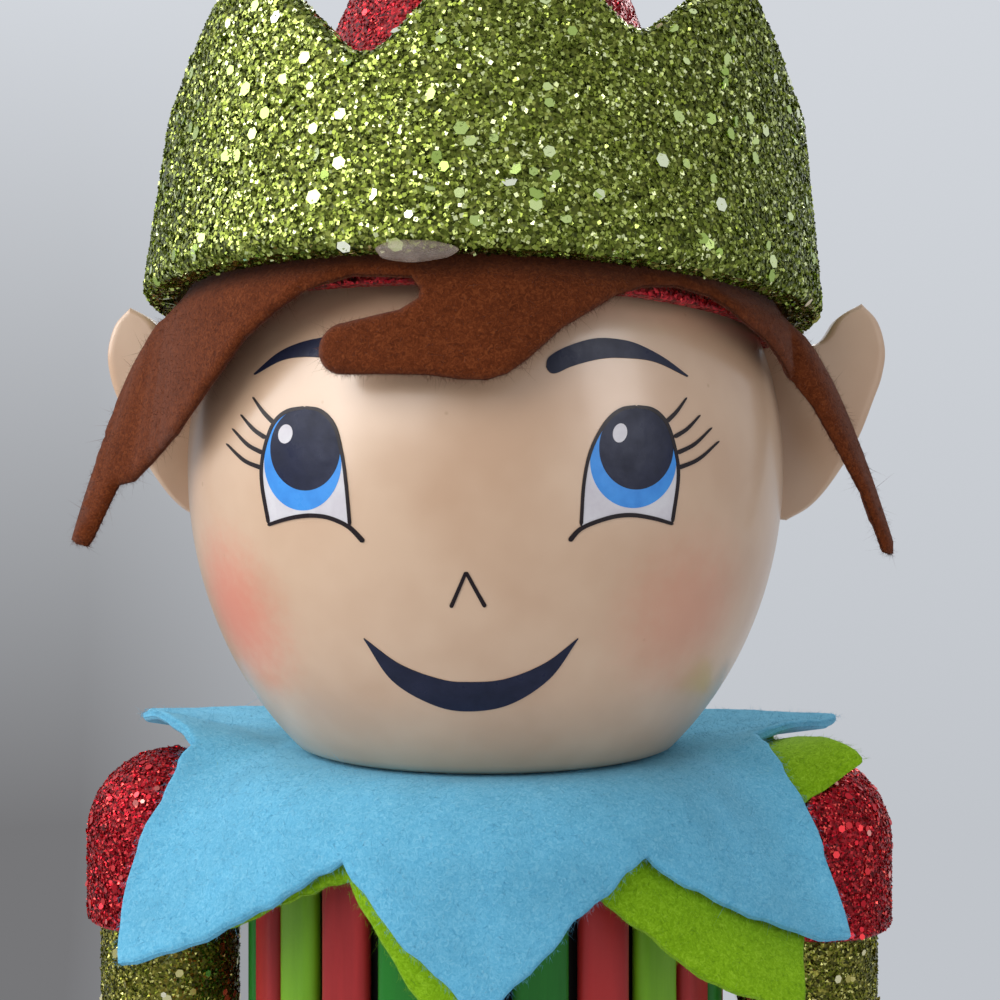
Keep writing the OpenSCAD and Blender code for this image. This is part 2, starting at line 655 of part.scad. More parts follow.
hand(right);  // right_hand
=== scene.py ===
# Elf nutcracker doll: painted wood, glitter and felt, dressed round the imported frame.
# Sizes are millimetres until a piece is made; the figure faces -Y and its own left is +X.
import bpy
from functools import partial
import math
from mathutils import Matrix, Vector
from mathutils.geometry import delaunay_2d_cdt
import numpy as np


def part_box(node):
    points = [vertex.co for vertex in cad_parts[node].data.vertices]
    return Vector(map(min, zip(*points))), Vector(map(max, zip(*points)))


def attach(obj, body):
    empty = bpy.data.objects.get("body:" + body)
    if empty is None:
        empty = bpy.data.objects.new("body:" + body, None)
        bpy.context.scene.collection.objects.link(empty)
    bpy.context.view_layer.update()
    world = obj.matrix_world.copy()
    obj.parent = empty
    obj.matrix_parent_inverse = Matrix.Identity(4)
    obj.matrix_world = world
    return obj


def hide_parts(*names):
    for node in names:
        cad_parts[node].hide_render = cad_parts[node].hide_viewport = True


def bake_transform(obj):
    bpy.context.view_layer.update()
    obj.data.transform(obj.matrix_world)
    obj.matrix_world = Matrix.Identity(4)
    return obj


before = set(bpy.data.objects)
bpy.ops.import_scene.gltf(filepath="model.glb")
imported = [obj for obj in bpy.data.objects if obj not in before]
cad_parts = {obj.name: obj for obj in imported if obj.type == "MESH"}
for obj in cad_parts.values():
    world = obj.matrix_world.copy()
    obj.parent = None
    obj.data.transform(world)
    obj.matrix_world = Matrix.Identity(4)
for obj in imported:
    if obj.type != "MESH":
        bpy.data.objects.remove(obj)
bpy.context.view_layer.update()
mm = 0.001
bothSides = (("left", 1), ("right", -1))


def boxOf(node):  # lowest and highest corner of a CAD node, in millimetres
    return np.array([list(corner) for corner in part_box(node)]) / mm


def unit(vectors):  # the same directions at length 1
    return vectors / np.linalg.norm(vectors, axis=-1, keepdims=True)


def linear(hexColour):  # sRGB hex to a linear colour
    srgb = np.array([int(hexColour[i:i + 2], 16) for i in (1, 3, 5)]) / 255
    flat = np.where(srgb <= 0.04045, srgb / 12.92, ((srgb + 0.055) / 1.055) ** 2.4)
    return (*flat.tolist(), 1.0)


def makePiece(name, points, faces, material, body="figure", slot=None, nodes=(), sharp=50):
    # whole arrays go into the mesh: each array in faces holds faces of one corner count
    mesh = bpy.data.meshes.new(name)
    counts = np.concatenate([np.full(len(f), f.shape[1]) for f in faces])
    corners = np.concatenate([np.asarray(f).ravel() for f in faces]).astype(np.int32)
    mesh.vertices.add(len(points))
    mesh.vertices.foreach_set("co", (np.asarray(points) * mm).astype(np.float32).ravel())
    mesh.loops.add(len(corners))
    mesh.loops.foreach_set("vertex_index", corners)
    mesh.polygons.add(len(counts))
    mesh.polygons.foreach_set("loop_start", (np.cumsum(counts) - counts).astype(np.int32))
    mesh.update(calc_edges=True)
    mesh.polygons.foreach_set("use_smooth", np.ones(len(counts), bool))
    mesh.set_sharp_from_angle(angle=math.radians(sharp))
    mesh.materials.append(material)
    piece = bpy.data.objects.new(name, mesh)
    bpy.context.scene.collection.objects.link(piece)
    if body:
        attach(piece, body)
    if nodes:
        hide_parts(*nodes)
    return piece


def joinMeshes(meshes):  # several like meshes, each its points and its arrays of faces, as one
    starts = np.cumsum([0] + [len(m[0]) for m in meshes])
    return (np.concatenate([m[0] for m in meshes]),
            [np.concatenate([m[k] + start for m, start in zip(meshes, starts)])
             for k in range(1, len(meshes[0]))])


def gridFaces(rows, cols, closedCols=False):
    # quads of a grid of points stored row by row, wound so that row x column points outwards
    i, j = np.meshgrid(np.arange(rows - 1), np.arange(cols if closedCols else cols - 1), indexing="ij")
    nextJ = (j + 1) % cols
    quads = np.stack([i * cols + j, (i + 1) * cols + j, (i + 1) * cols + nextJ, i * cols + nextJ], -1)
    return quads.reshape(-1, 4)


def fan(ring, tip, over=False):  # triangles from the sides of a closed ring of points to one point
    faces = np.stack([ring, np.roll(ring, -1), np.full(len(ring), tip)], -1)
    return faces[:, [1, 0, 2]] if over else faces


def shellOf(outer, inner, closedCols=False):
    # a closed skin: an outer grid, an inner grid wound the other way, and rims that join their edges
    rows, cols = outer.shape[:2]
    n = rows * cols
    faces = gridFaces(rows, cols, closedCols)
    edges = [np.arange(cols)[::-1], n - cols + np.arange(cols)]
    if closedCols:
        edges = [np.append(edge, edge[0]) for edge in edges]
    else:
        edges += [np.arange(rows) * cols, (np.arange(rows) * cols + cols - 1)[::-1]]
    rims = [np.stack([edge[:-1], edge[:-1] + n, edge[1:] + n, edge[1:]], -1) for edge in edges]
    points = np.concatenate([outer.reshape(-1, 3), inner.reshape(-1, 3)])
    return points, np.concatenate([faces, faces[:, ::-1] + n, *rims])


def roundedLine(line, radius, steps=5):
    # each corner of a line becomes a short curve that starts and ends a radius away from it
    line = np.asarray(line, float)
    t = np.linspace(0, 1, steps)[:, None]
    parts = [line[:1]]
    for before, corner, after in zip(line, line[1:], line[2:]):
        a, b = (corner + unit(end - corner) * min(radius, 0.45 * np.linalg.norm(end - corner))
                for end in (before, after))
        parts.append((1 - t) ** 2 * a + 2 * t * (1 - t) * corner + t * t * b)
    return np.concatenate([*parts, line[-1:]])


def arc(r, z, first, last, count, up=None):  # a round profile about a height, between two angles
    a = np.linspace(first, last, count)
    return np.stack([r * np.cos(a), z + (up or r) * np.sin(a)], -1)


def revolve(profile, count=96, x=0.0):
    # a profile of (radius, height) turned round the upright line through x; both ends lie on it
    profile = np.asarray(profile, float)
    turn = np.linspace(0, 2 * np.pi, count, endpoint=False)
    ring = profile[1:-1]
    points = np.stack([x + ring[:, :1] * np.cos(turn), ring[:, :1] * np.sin(turn),
                       np.repeat(ring[:, 1:], count, 1)], -1).reshape(-1, 3)
    n = len(points)
    points = np.concatenate([points, [[x, 0, profile[0, 1]], [x, 0, profile[-1, 1]]]])
    ends = np.concatenate([fan(np.arange(count), n, True), fan(n - count + np.arange(count), n + 1)])
    return points, [gridFaces(len(ring), count, True)[:, ::-1], ends]


def smoothLine(points, count):
    # a cubic curve through a few points, whose slope at each is half the way from the one before to the
    # one after; given as evenly many points
    p = np.asarray(points, float)
    ends = np.concatenate([[2 * p[0] - p[1]], p, [2 * p[-1] - p[-2]]])
    at = np.linspace(0, len(p) - 1, count)
    k = np.minimum(at.astype(int), len(p) - 2)
    t = (at - k)[:, None]
    a, b, c, d = (ends[k + i] for i in range(4))
    bend, twist = 2 * a - 5 * b + 4 * c - d, 3 * b - a - 3 * c + d
    return 0.5 * (2 * b + (c - a) * t + bend * t ** 2 + twist * t ** 3)


def around(angle, r, z):  # a point at an angle in degrees from the front, positive to the figure's left
    a = np.radians(angle)
    return np.stack(np.broadcast_arrays(r * np.sin(a), -r * np.cos(a), z), -1)


# Camera: level with the face, a little to the figure's left
cameraSet = dict(distance=192.0, height=252.5, azimuth=3.0, lens=55.4, sensor=36.0, axisPixel=486, frame=1000)
turn = math.radians(cameraSet["azimuth"])
halfFrame = cameraSet["frame"] / 2
focal = cameraSet["lens"] / cameraSet["sensor"] * cameraSet["frame"]
yaw = math.atan((halfFrame - cameraSet["axisPixel"]) / focal)
eye = np.array([math.sin(turn), -math.cos(turn), 0]) * cameraSet["distance"] + [0, 0, cameraSet["height"]]
heading = turn + math.pi - yaw
forward = np.array([math.sin(heading), -math.cos(heading), 0.0])
upward = np.array([0, 0, 1.0])
sideways = np.cross(forward, upward)
camera = bpy.data.objects.new("camera", bpy.data.cameras.new("camera"))
camera.data.lens = cameraSet["lens"]
camera.data.sensor_width = cameraSet["sensor"]
camera.data.clip_start = 0.01
camera.location = eye * mm
camera.rotation_euler = (math.pi / 2, 0, math.atan2(-forward[0], forward[1]))
bpy.context.scene.collection.objects.link(camera)
bpy.context.scene.camera = camera
bpy.context.scene.view_settings.view_transform = "Standard"


def pixelRay(pixels):  # the direction in which the camera sees each pixel of the square picture
    right, down = pixels[..., :1] - halfFrame, pixels[..., 1:] - halfFrame
    return forward * focal + right * sideways - down * upward


print("camera set")


# Materials
def addNode(tree, kind, inputs=(), stops=(), pick=0, **settings):
    # one node: its settings, its inputs as values or links, and a ramp's stops; gives one of its outputs
    node = tree.nodes.new("ShaderNode" + kind)
    for name, value in settings.items():
        setattr(node, name, value)
    for key, value in dict(inputs).items():
        if isinstance(value, bpy.types.NodeSocket):
            tree.links.new(value, node.inputs[key])
        else:
            node.inputs[key].default_value = value
    for i, (at, colour) in enumerate(stops):
        ramp = node.color_ramp.elements
        stop = ramp[i] if i < 2 else ramp.new(at)
        stop.position = at
        stop.color = linear(colour)
    return None if pick is None else node.outputs[pick]


def perSize(size):  # texture scale for a feature of this many millimetres
    return 1 / (size * mm)


def startMaterial(name):  # an empty material, what adds a node to it, and the piece's own coordinates
    material = bpy.data.materials.new(name)
    material.use_nodes = True
    material.node_tree.nodes.clear()
    add = partial(addNode, material.node_tree)
    return material, add, add("TexCoord", pick="Object")


def endMaterial(material, add, inputs):  # the surface with these inputs
    add("OutputMaterial", {"Surface": add("BsdfPrincipled", inputs)}, pick=None)
    return material


def feltMaterial(name, colour, dark, light):
    # matted wool: cloudy colour, crossing fibres that catch the light, a few dark flecks, no shine; the
    # fibres are drawn coarser than real ones, so that they show
    material, add, coords = startMaterial(name)
    cloud = add("TexNoise", {"Vector": coords, "Scale": perSize(6), "Detail": 3})
    fibre = add("TexNoise", {"Vector": coords, "Scale": perSize(0.55), "Detail": 6, "Roughness": 0.7,
                             "Distortion": 1.6})
    tone = add("ValToRGB", {0: fibre}, [(0.28, dark), (0.72, light), (0.5, colour)])
    shade = add("MapRange", {0: cloud, 1: 0.3, 2: 0.7, 3: 0.92, 4: 1.05})
    cloudy = add("VectorMath", {0: tone, "Scale": shade}, operation="SCALE")
    fleck = add("TexVoronoi", {"Vector": coords, "Scale": perSize(3.2)}, pick="Distance")
    dot = add("MapRange", {0: fleck, 1: 0.03, 2: 0.08, 3: 0.35, 4: 0.0})
    flecked = add("MixRGB", {0: dot, 1: cloudy, 2: linear(dark)})
    bump = add("Bump", {"Height": fibre, "Strength": 0.45, "Distance": 0.2 * mm})
    return endMaterial(material, add, {
        "Base Color": flecked, "Roughness": 1.0, "Specular IOR Level": 0.05, "Sheen Weight": 0.1,
        "Sheen Roughness": 0.5, "Normal": bump})


def paintMaterial(name, colour, dark, roughness=0.42, shine=0.3, streak=(6, 6, 60), bumpSize=0.7, bump=0.12):
    # brushed enamel on wood: long tone streaks, a slightly uneven film and a soft shine
    material, add, coords = startMaterial(name)
    streaks = add("Mapping", {"Vector": coords, "Scale": tuple(perSize(s) for s in streak)})
    tone = add("TexNoise", {"Vector": streaks, "Scale": 1.0, "Detail": 5, "Roughness": 0.62})
    painted = add("ValToRGB", {0: tone}, [(0.3, dark), (0.62, colour)])
    film = add("TexNoise", {"Vector": coords, "Scale": perSize(bumpSize), "Detail": 4})
    height = add("Bump", {"Height": film, "Strength": bump, "Distance": 0.2 * mm})
    worn = add("MapRange", {0: tone, 1: 0.3, 2: 0.7, 3: roughness * 1.35, 4: roughness * 0.8})
    return endMaterial(material, add, {"Base Color": painted, "Roughness": worn, "Specular IOR Level": shine,
                                       "Normal": height})


def glitterMaterial(name, ground, low, high, size=0.34):
    # glued glitter ground: small cells, each tilted its own way and in its own tone
    material, add, coords = startMaterial(name)
    cells = add("TexVoronoi", {"Vector": coords, "Scale": perSize(size)}, pick="Color")
    share = add("SeparateColor", {0: cells})
    tone = add("ValToRGB", {0: share}, [(0.05, ground), (0.95, high), (0.6, low)])
    tilt = add("VectorMath", {0: cells, 1: (0.5, 0.5, 0.5)}, operation="SUBTRACT")
    normal = add("NewGeometry", pick="Normal")
    lean = add("VectorMath", {0: tilt, 1: (1.1, 1.1, 1.1), 2: normal}, operation="MULTIPLY_ADD")
    facing = add("VectorMath", {0: lean}, operation="NORMALIZE")
    return endMaterial(material, add, {"Base Color": tone, "Metallic": 0.7, "Roughness": 0.38,
                                       "Normal": facing})


def flakeMaterial(name, *stops):
    # cut foil: a mirror in the tone that each flake carries
    material, add, _ = startMaterial(name)
    tone = add("ValToRGB", {0: add("Attribute", attribute_name="flakeTone", pick="Fac")}, stops)
    return endMaterial(material, add, {"Base Color": tone, "Metallic": 0.9, "Roughness": 0.2})


def filmMaterial(name, colour, dark, shine=0.2, bumpSize=0.5, bump=0.06):
    # hand-painted enamel on the face: one colour, a little thinner in places
    return paintMaterial(name, colour, dark, 0.3, shine, (3, 3, 3), bumpSize, bump)


def clearMaterial(name, colour):
    # set hot glue: a milky film that lets half of what is under it show, with a wavy shine
    material, add, coords = startMaterial(name)
    wave = add("TexNoise", {"Vector": coords, "Scale": perSize(1.5), "Detail": 2})
    bump = add("Bump", {"Height": wave, "Strength": 0.2, "Distance": 0.3 * mm})
    haze = add("MapRange", {0: wave, 1: 0.3, 2: 0.7, 3: 0.3, 4: 0.5})
    return endMaterial(material, add, {"Base Color": linear(colour), "Roughness": 0.3, "Alpha": haze,
                                       "Normal": bump})


def skinMaterial(name, blush):
    # sprayed flesh enamel: even tone, soft cheek blush, specks of dust and a high gloss
    material, add, coords = startMaterial(name)
    cloud = add("TexNoise", {"Vector": coords, "Scale": perSize(14), "Detail": 3})
    colour = add("ValToRGB", {0: cloud}, [(0.35, "#caa586"), (0.65, "#d7b698")])
    for at, depth in blush:
        gap = add("VectorMath", {0: coords, 1: tuple(at * mm)}, pick="Value", operation="DISTANCE")
        grain = add("TexNoise", {"Vector": coords, "Scale": perSize(1.2), "Detail": 4})
        rough = add("Math", {0: grain, 1: 4 * mm, 2: gap}, operation="MULTIPLY_ADD")
        share = add("MapRange", {0: rough, 1: 15 * mm, 2: 3 * mm, 3: 0.0, 4: depth},
                    interpolation_type="SMOOTHSTEP")
        colour = add("MixRGB", {0: share, 1: colour, 2: linear("#d9785c")})
    specks = add("TexVoronoi", {"Vector": coords, "Scale": perSize(7)}, pick="Distance")
    dot = add("MapRange", {0: specks, 1: 0.03, 2: 0.05, 3: 0.35, 4: 0.0})
    dusty = add("MixRGB", {0: dot, 1: colour, 2: linear("#9a7048")})
    film = add("TexNoise", {"Vector": coords, "Scale": perSize(2.5), "Detail": 3})
    bump = add("Bump", {"Height": film, "Strength": 0.05, "Distance": 0.4 * mm})
    return endMaterial(material, add, {"Base Color": dusty, "Roughness": 0.42, "Coat Weight": 0.6,
                                       "Coat Roughness": 0.2, "Normal": bump})


greenPaint = paintMaterial("dark green enamel", "#1f7a22", "#155a17")
redPaint = paintMaterial("red enamel", "#b42c2c", "#8f1f21")
limePaint = paintMaterial("lime enamel", "#7cb41c", "#649818")
blackPaint = paintMaterial("black enamel", "#17181b", "#0c0d0f")
# near-black core paint: partly the core's own dark colour, partly painted shade for the gaps between the
# slats
coreGapShadePaint = paintMaterial("near black core paint with gap shade", "#16120f", "#0a0807", 0.6, 0.1)
bareWood = paintMaterial("bare birch", "#c9a36c", "#a67d4a", 0.6, 0.2, (1.5, 1.5, 30))
blueFelt = feltMaterial("pale blue felt", "#69b6d8", "#4f9fc6", "#86c9e4")
limeFelt = feltMaterial("lime felt", "#82b016", "#628c08", "#a0cc32")
brownFelt = feltMaterial("brown felt", "#632e14", "#421c0a", "#844624")
greenGlitter = glitterMaterial("green glitter ground", "#333a0d", "#666f22", "#b4bc5c")
redGlitter = glitterMaterial("red glitter ground", "#4c0a0e", "#98141e", "#d8343c", 0.3)
goldGlitter = glitterMaterial("olive and gold glitter ground", "#363711", "#6c6a22", "#b0a84a", 0.32)
greenFlake = flakeMaterial("green foil", (0, "#4a5419"), (1, "#f6fbc2"), (0.45, "#828f38"), (0.8, "#bcc870"))
paleFlake = flakeMaterial("pale hexagon foil", (0, "#9dbb4c"), (1, "#fbfde6"), (0.6, "#e2f2a4"))
redFlake = flakeMaterial("red foil", (0, "#7a0713"), (1, "#ff6a5e"), (0.6, "#c8182a"))
redChip = flakeMaterial("bright red foil", (0, "#c01c2c"), (1, "#ffb4a8"), (0.6, "#f4484c"))
goldFlake = flakeMaterial("olive and gold foil", (0, "#505814"), (1, "#f0ea92"), (0.6, "#929236"))
goldChip = flakeMaterial("pale gold foil", (0, "#a89c40"), (1, "#fff8d8"), (0.6, "#e6de9c"))
navyFilm = filmMaterial("navy face paint", "#25293f", "#1b1e30", 0.14, 2.2, 0.3)
inkFilm = filmMaterial("brown black line paint", "#20151a", "#150c10")
blueFilm = filmMaterial("blue iris paint", "#4799ea", "#3786da")
whiteFilm = filmMaterial("white eye paint", "#dddade", "#cfc9d0")
glue = clearMaterial("clear glue", "#b09d90")
print("materials made")

# Head: two half ellipses turned round the axis, as in the CAD
headBox = boxOf("head")
headForm = dict(flatZ=headBox[0, 2], r=(headBox[1, 0] - headBox[0, 0]) / 2, flatR=22.6, lowH=34.4,
                crownZ=headBox[1, 2], rim=[(1.2, 0), (0.3, 0.25)], count=160)
headR, headZ = headForm["r"], headForm["flatZ"] + headForm["lowH"]
headUp = headForm["crownZ"] - headZ
headLow = headForm["lowH"] / math.sqrt(1 - (headForm["flatR"] / headR) ** 2)


def headHalf(z):  # half height of the ellipse that a height lies on
    return np.where(np.asarray(z) < headZ, headLow, headUp)


def headAt(z):  # radius of the head at a height
    return headR * np.sqrt(np.clip(1 - ((z - headZ) / headHalf(z)) ** 2, 0, 1))


def headNormal(points):  # outward direction: each coordinate over its half size squared
    up = (points[..., 2:] - headZ) / headHalf(points[..., 2:]) ** 2
    return unit(np.concatenate([points[..., :2] / headR ** 2, up], -1))


def onHead(pixels, lift=0.0):
    # where the camera's line through each pixel first meets the head, lifted off it a little
    d = pixelRay(pixels)
    hits = []
    for half in (headUp, headLow):
        scale = 1 / np.array([headR, headR, half])
        o, v = (eye - [0, 0, headZ]) * scale, d * scale
        a, b, c = (v * v).sum(-1), (v * o).sum(-1), (o * o).sum() - 1
        t = (-b - np.sqrt(np.maximum(b * b - a * c, 0))) / a
        hits.append(eye + t[..., None] * d)
    hit = np.where(hits[0][..., 2:] >= headZ, *hits)
    return hit + headNormal(hit) * lift


headLine = np.concatenate([
    [(0, headForm["flatZ"])],
    [(headForm["flatR"] - inset, headForm["flatZ"] + up) for inset, up in headForm["rim"]],
    arc(headR, headZ, -math.asin(headForm["lowH"] / headLow), 0, 40, headLow)[1:],
    arc(headR, headZ, 0, np.pi / 2, 41, headUp)[1:]])
headLine[-1, 0] = 0
cheeks = [((236, 612), 0.85), ((686, 612), 0.4)]
blush = [(onHead(np.array(pixel, float)), depth) for pixel, depth in cheeks]
headSkin = skinMaterial("flesh enamel with blush", blush)
plainSkin = skinMaterial("flesh enamel", [])
headMesh = revolve(headLine, headForm["count"])
headPiece = makePiece("head", *headMesh, headSkin, slot="skin_paint", nodes=["head"])

# Face paint: thin films that follow the head. A stroke is a ribbon along a curve of pixels,
# a fill lies between two curves of pixels.
film = dict(sink=0.25, white=0.03, iris=0.05, pupil=0.07, line=0.09, spark=0.11)


def stroke(points, widths, count=70, across=5):  # a ribbon of changing width with round ends
    line = smoothLine(points, count)
    along = np.gradient(line, axis=0)
    side = unit(np.stack([-along[:, 1], along[:, 0]], -1))
    width = np.interp(np.linspace(0, 1, count), np.linspace(0, 1, len(widths)), widths) / 2
    run = np.concatenate([[0], np.cumsum(np.linalg.norm(np.diff(line, axis=0), axis=1))])
    toEnd = np.minimum(run, run[-1] - run) / width
    width *= np.sqrt(np.maximum(1 - np.maximum(1 - toEnd, 0) ** 2, 0.1))
    share = np.linspace(-1, 1, across)[None, :, None]
    return line[:, None] + share * (side * width[:, None])[:, None]


def between(first, second, count):  # a grid of rows that run from one line to another
    share = np.linspace(0, 1, count)[None, :, None]
    return first[:, None] * (1 - share) + second[:, None] * share


def fill(first, second, count=40, across=10, arch=0.0):  # the last row is arched up between its ends
    grid = between(smoothLine(first, count), smoothLine(second, count), across)
    share = np.linspace(0, 1, across)
    grid[..., 1] -= 4 * arch * share * (1 - share) * np.linspace(0, 1, count)[:, None] ** 4
    return grid


def disc(centre, half, tilt=0.0, rings=8, count=48):  # an ellipse, in rows from its upper to its lower rim
    a = np.linspace(0, np.pi, count)[1:-1]
    upper, lower = (np.stack([-np.cos(a), way * np.sin(a)], -1) * half for way in (-1, 1))
    c, s = math.cos(math.radians(tilt)), math.sin(math.radians(tilt))
    return between(upper, lower, rings) @ np.array([[c, s], [-s, c]]) + centre


def joinFilms(name, layers, material):
    # each layer is a grid of pixels and its lift: its skin lies above the head, its back inside it, and
    # its winding is turned so that the skin faces out
    meshes = []
    for grid, lift in layers:
        k = grid.shape[0] // 2
        across, along = grid[k, -1] - grid[k, 0], grid[k + 1, 0] - grid[k - 1, 0]
        if along[0] * across[1] - along[1] * across[0] > 0:
            grid = grid[:, ::-1]
        meshes.append(shellOf(onHead(grid, lift), onHead(grid, -film["sink"])))
    return makePiece(name, *joinMeshes(meshes), material, slot="skin_paint")


# Pixels of the eyes: the outline's two sides from its top, the lower lid, and discs as centre and half size.
# A lash runs from its root to its tip, with a bow in the middle.
eyes = dict(
    left=dict(sides=([(305, 407.5), (287, 411.5), (273, 425), (263.5, 454), (262, 482), (269, 524)],
                     [(305, 407.5), (321, 411), (334.5, 426), (342, 454), (346, 482), (350, 526)]),
              lid=[(268, 525), (283, 520), (298, 516.6), (313, 515.5), (330, 518), (349, 527), (364, 542)],
              pupil=((305.5, 449), (34.8, 41.5)), iris=((303, 462), (38.5, 48.5)),
              spark=((286, 434), (7, 9.6))),
    right=dict(sides=([(636, 406.5), (620, 410), (605, 423.5), (591, 450), (584, 482), (581, 526)],
                      [(636, 406.5), (653, 410), (666.5, 423.5), (675, 450), (678, 478), (672, 523)]),
               lid=[(569, 541), (582, 528), (608, 518), (630, 515), (652, 518), (673, 524)],
               pupil=((636, 448), (37, 41.5)), iris=((633, 461), (43, 47)), spark=((619.6, 433), (7, 9.6))))
eyeLines = dict(lidArch=9.5, sparkTilt=12, sideWidths=[3.2, 4, 3.2, 3.2, 3.4],
                lidWidths=[3.4, 4, 4.4, 4.2, 4.2, 5])
lashes = dict(widths=[4.6, 3.6, 1.6], bows=[2, 2.8, 3.8, 4.5], ends=[
    ((274, 423), (253, 397)), ((266, 438), (241, 414.5)), ((263, 453), (232.5, 428.5)),
    ((262, 468), (226.5, 443.5)), ((666, 422), (686.5, 397.6)), ((674, 437), (700, 415)),
    ((677, 453), (711.7, 427.6)), ((678, 468), (719, 441))])
whiteLayers, irisLayers, navyLayers, inkLayers = [], [], [], []
for side, way in bothSides:
    form = eyes[side]
    whiteLayers += [(fill(*form["sides"], across=14, arch=eyeLines["lidArch"]), film["white"]),
                    (disc(*form["spark"], eyeLines["sparkTilt"]), film["spark"])]
    irisLayers += [(disc(*form["iris"]), film["iris"]),
                   (fill(*[line[:4] for line in form["sides"]]), film["iris"])]
    navyLayers += [(disc(*form["pupil"]), film["pupil"])]
    inkLayers += [(stroke(line, eyeLines["sideWidths"]), film["line"]) for line in form["sides"]]
    inkLayers += [(stroke(form["lid"], eyeLines["lidWidths"][::way]), film["line"])]
for k, ends in enumerate(lashes["ends"]):
    root, tip = np.array(ends, float)
    bow = (root + tip) / 2 + [0, lashes["bows"][k % 4]]
    inkLayers.append((stroke([root, bow, tip], lashes["widths"], 30), film["line"]))
face = dict(
    noseLeft=[(450.8, 607.5), (458.4, 590), (466, 572)], noseRight=[(466, 572), (475.6, 589.6), (485.4, 607)],
    noseWidths=[4.2, 3.8, 3.6],
    mouth=([(364, 638), (400, 664), (440, 679), (468, 682), (505, 679), (545, 663), (578, 638)],
           [(364, 639), (392, 680), (432, 704), (468, 711), (510, 704), (550, 678), (578, 639)]),
    leftBrow=([(254, 374), (277, 354), (300, 343), (330, 336)],
              [(255, 375), (281, 361), (303, 357), (330, 358)]),
    rightBrow=([(546, 367), (549, 357), (566, 347), (592, 339), (615, 339), (637, 344), (664, 358),
                (688, 376)],
               [(546, 367), (550, 372.5), (557, 373), (573, 366), (600, 359), (624, 358), (655, 362),
                (687, 377)]))
inkLayers += [(stroke(face["noseLeft"], face["noseWidths"]), film["line"]),
              (stroke(face["noseRight"], face["noseWidths"][::-1]), film["line"])]
navyLayers += [(fill(*face["mouth"], 60, 8), film["line"]), (fill(*face["leftBrow"]), film["line"]),
               (fill(*face["rightBrow"]), film["line"])]
enamel = bpy.data.collections.new("head enamel")
enamel.objects.link(headPiece)
for name, layers, material in (("eye_whites", whiteLayers, whiteFilm), ("irises", irisLayers, blueFilm),
                               ("face_fills", navyLayers, navyFilm), ("face_lines", inkLayers, inkFilm)):
    enamel.objects.link(joinFilms(name, layers, material))
print("head painted")


def scatter(points, faces, count, seed):
    # points spread evenly over a skin, each with its triangle's normal; every face is a fan of triangles
    rng = np.random.default_rng(seed)
    tri = np.concatenate([np.stack([f[:, 0], f[:, k], f[:, k + 1]], -1)
                          for f in faces for k in range(1, f.shape[1] - 1)])
    a, b, c = (points[tri[:, k]] for k in range(3))
    normal = np.cross(b - a, c - a)
    area = np.linalg.norm(normal, axis=1)
    pick = np.searchsorted(np.cumsum(area) / area.sum(), rng.random(count))
    u, v = rng.random((2, count, 1))
    u, v = np.where(u + v > 1, 1 - u, u), np.where(u + v > 1, 1 - v, v)
    spot = a[pick] + u * (b - a)[pick] + v * (c - a)[pick]
    return spot, normal[pick] / np.maximum(area[pick], 1e-9)[:, None]


def softEdge(gap, thick):  # half thickness of felt at a gap from its cut edge, which has worn corners
    share = np.minimum(gap / (thick / 2), 1)
    return thick / 2 * np.maximum(np.sqrt(1 - (1 - share) ** 2), 0.45)


# Loose wool: the length and half width of the fibres on a felt's cut edge and on its face
wool = dict(collarEdge=(0.6, 0.015), hairEdge=(0.7, 0.015), face=(0.8, 0.02), foot=0.15, stray=0.5,
            spread=(0.4, 1.3), longShare=0.04, longTimes=3)


def addFibres(name, spots, ways, size, material, slot, seed, body="figure"):
    # thin three-sided spikes that stand off the felt along a way of their own, a few of them long
    rng = np.random.default_rng(seed)
    n = len(spots)
    length, wide = size
    ways = unit(unit(ways) + wool["stray"] * rng.normal(size=(n, 3)))
    one = unit(np.cross(ways, rng.normal(size=(n, 3)))) * wide
    two = np.cross(ways, one)
    foot = spots - wool["foot"] * ways
    ring = [foot + one, foot - 0.5 * one + 0.87 * two, foot - 0.5 * one - 0.87 * two]
    reach = length * rng.uniform(*wool["spread"], (n, 1)) ** 1.5
    reach = reach * np.where(rng.random((n, 1)) < wool["longShare"], wool["longTimes"], 1)
    points = np.stack([*ring, spots + ways * reach], 1).reshape(-1, 3)
    faces = np.array([(0, 1, 3), (1, 2, 3), (2, 0, 3), (2, 1, 0)])
    faces = (np.arange(n)[:, None, None] * 4 + faces).reshape(-1, 3)
    return makePiece(name, points, [faces], material, body, slot, sharp=180)


def addNap(name, points, faces, count, seeds, material, slot, body="figure"):
    # fibres that lie nearly flat all over a felt face
    spots, normals = scatter(points, faces, count, seeds[0])
    flat = np.cross(normals, np.random.default_rng(seeds[1]).normal(size=normals.shape))
    return addFibres(name, spots, 0.5 * normals + flat, wool["face"], material, slot, seeds[2], body)


# Felt collars: the CAD's drape on a fine grid. The felt runs flat from the neck, bends with one
# radius and then runs straight, at a tilt that depends on the angle from the front. The points are
# cut by hand, so each edge is a table: an angle from the front and a share of the longest flat radius.
collarForm = dict(thick=1.3, gap=0.7, hole=5.3, bendFrom=25.0, bend=7.5, rows=46, step=1.25, under=0.1,
                  edgeRows=(0.6, 0.3, 0.1, 0), edgeFibres=12, faceFibres=7000, jitter=(0.6, 0.6, 0.18),
                  pull=(0.7, -0.714), pullFrom=30.0, pullTo=44.0,
                  tilts=[(0, 80), (25, 76), (35, 67), (45, 59), (55, 52), (60, 49), (65, 41), (70, 27),
                         (75, 14), (80, -1), (85, -11), (90, -13.5), (95, -12.5), (100, -9), (105, -5),
                         (110, -3), (120, -2), (180, -1)])
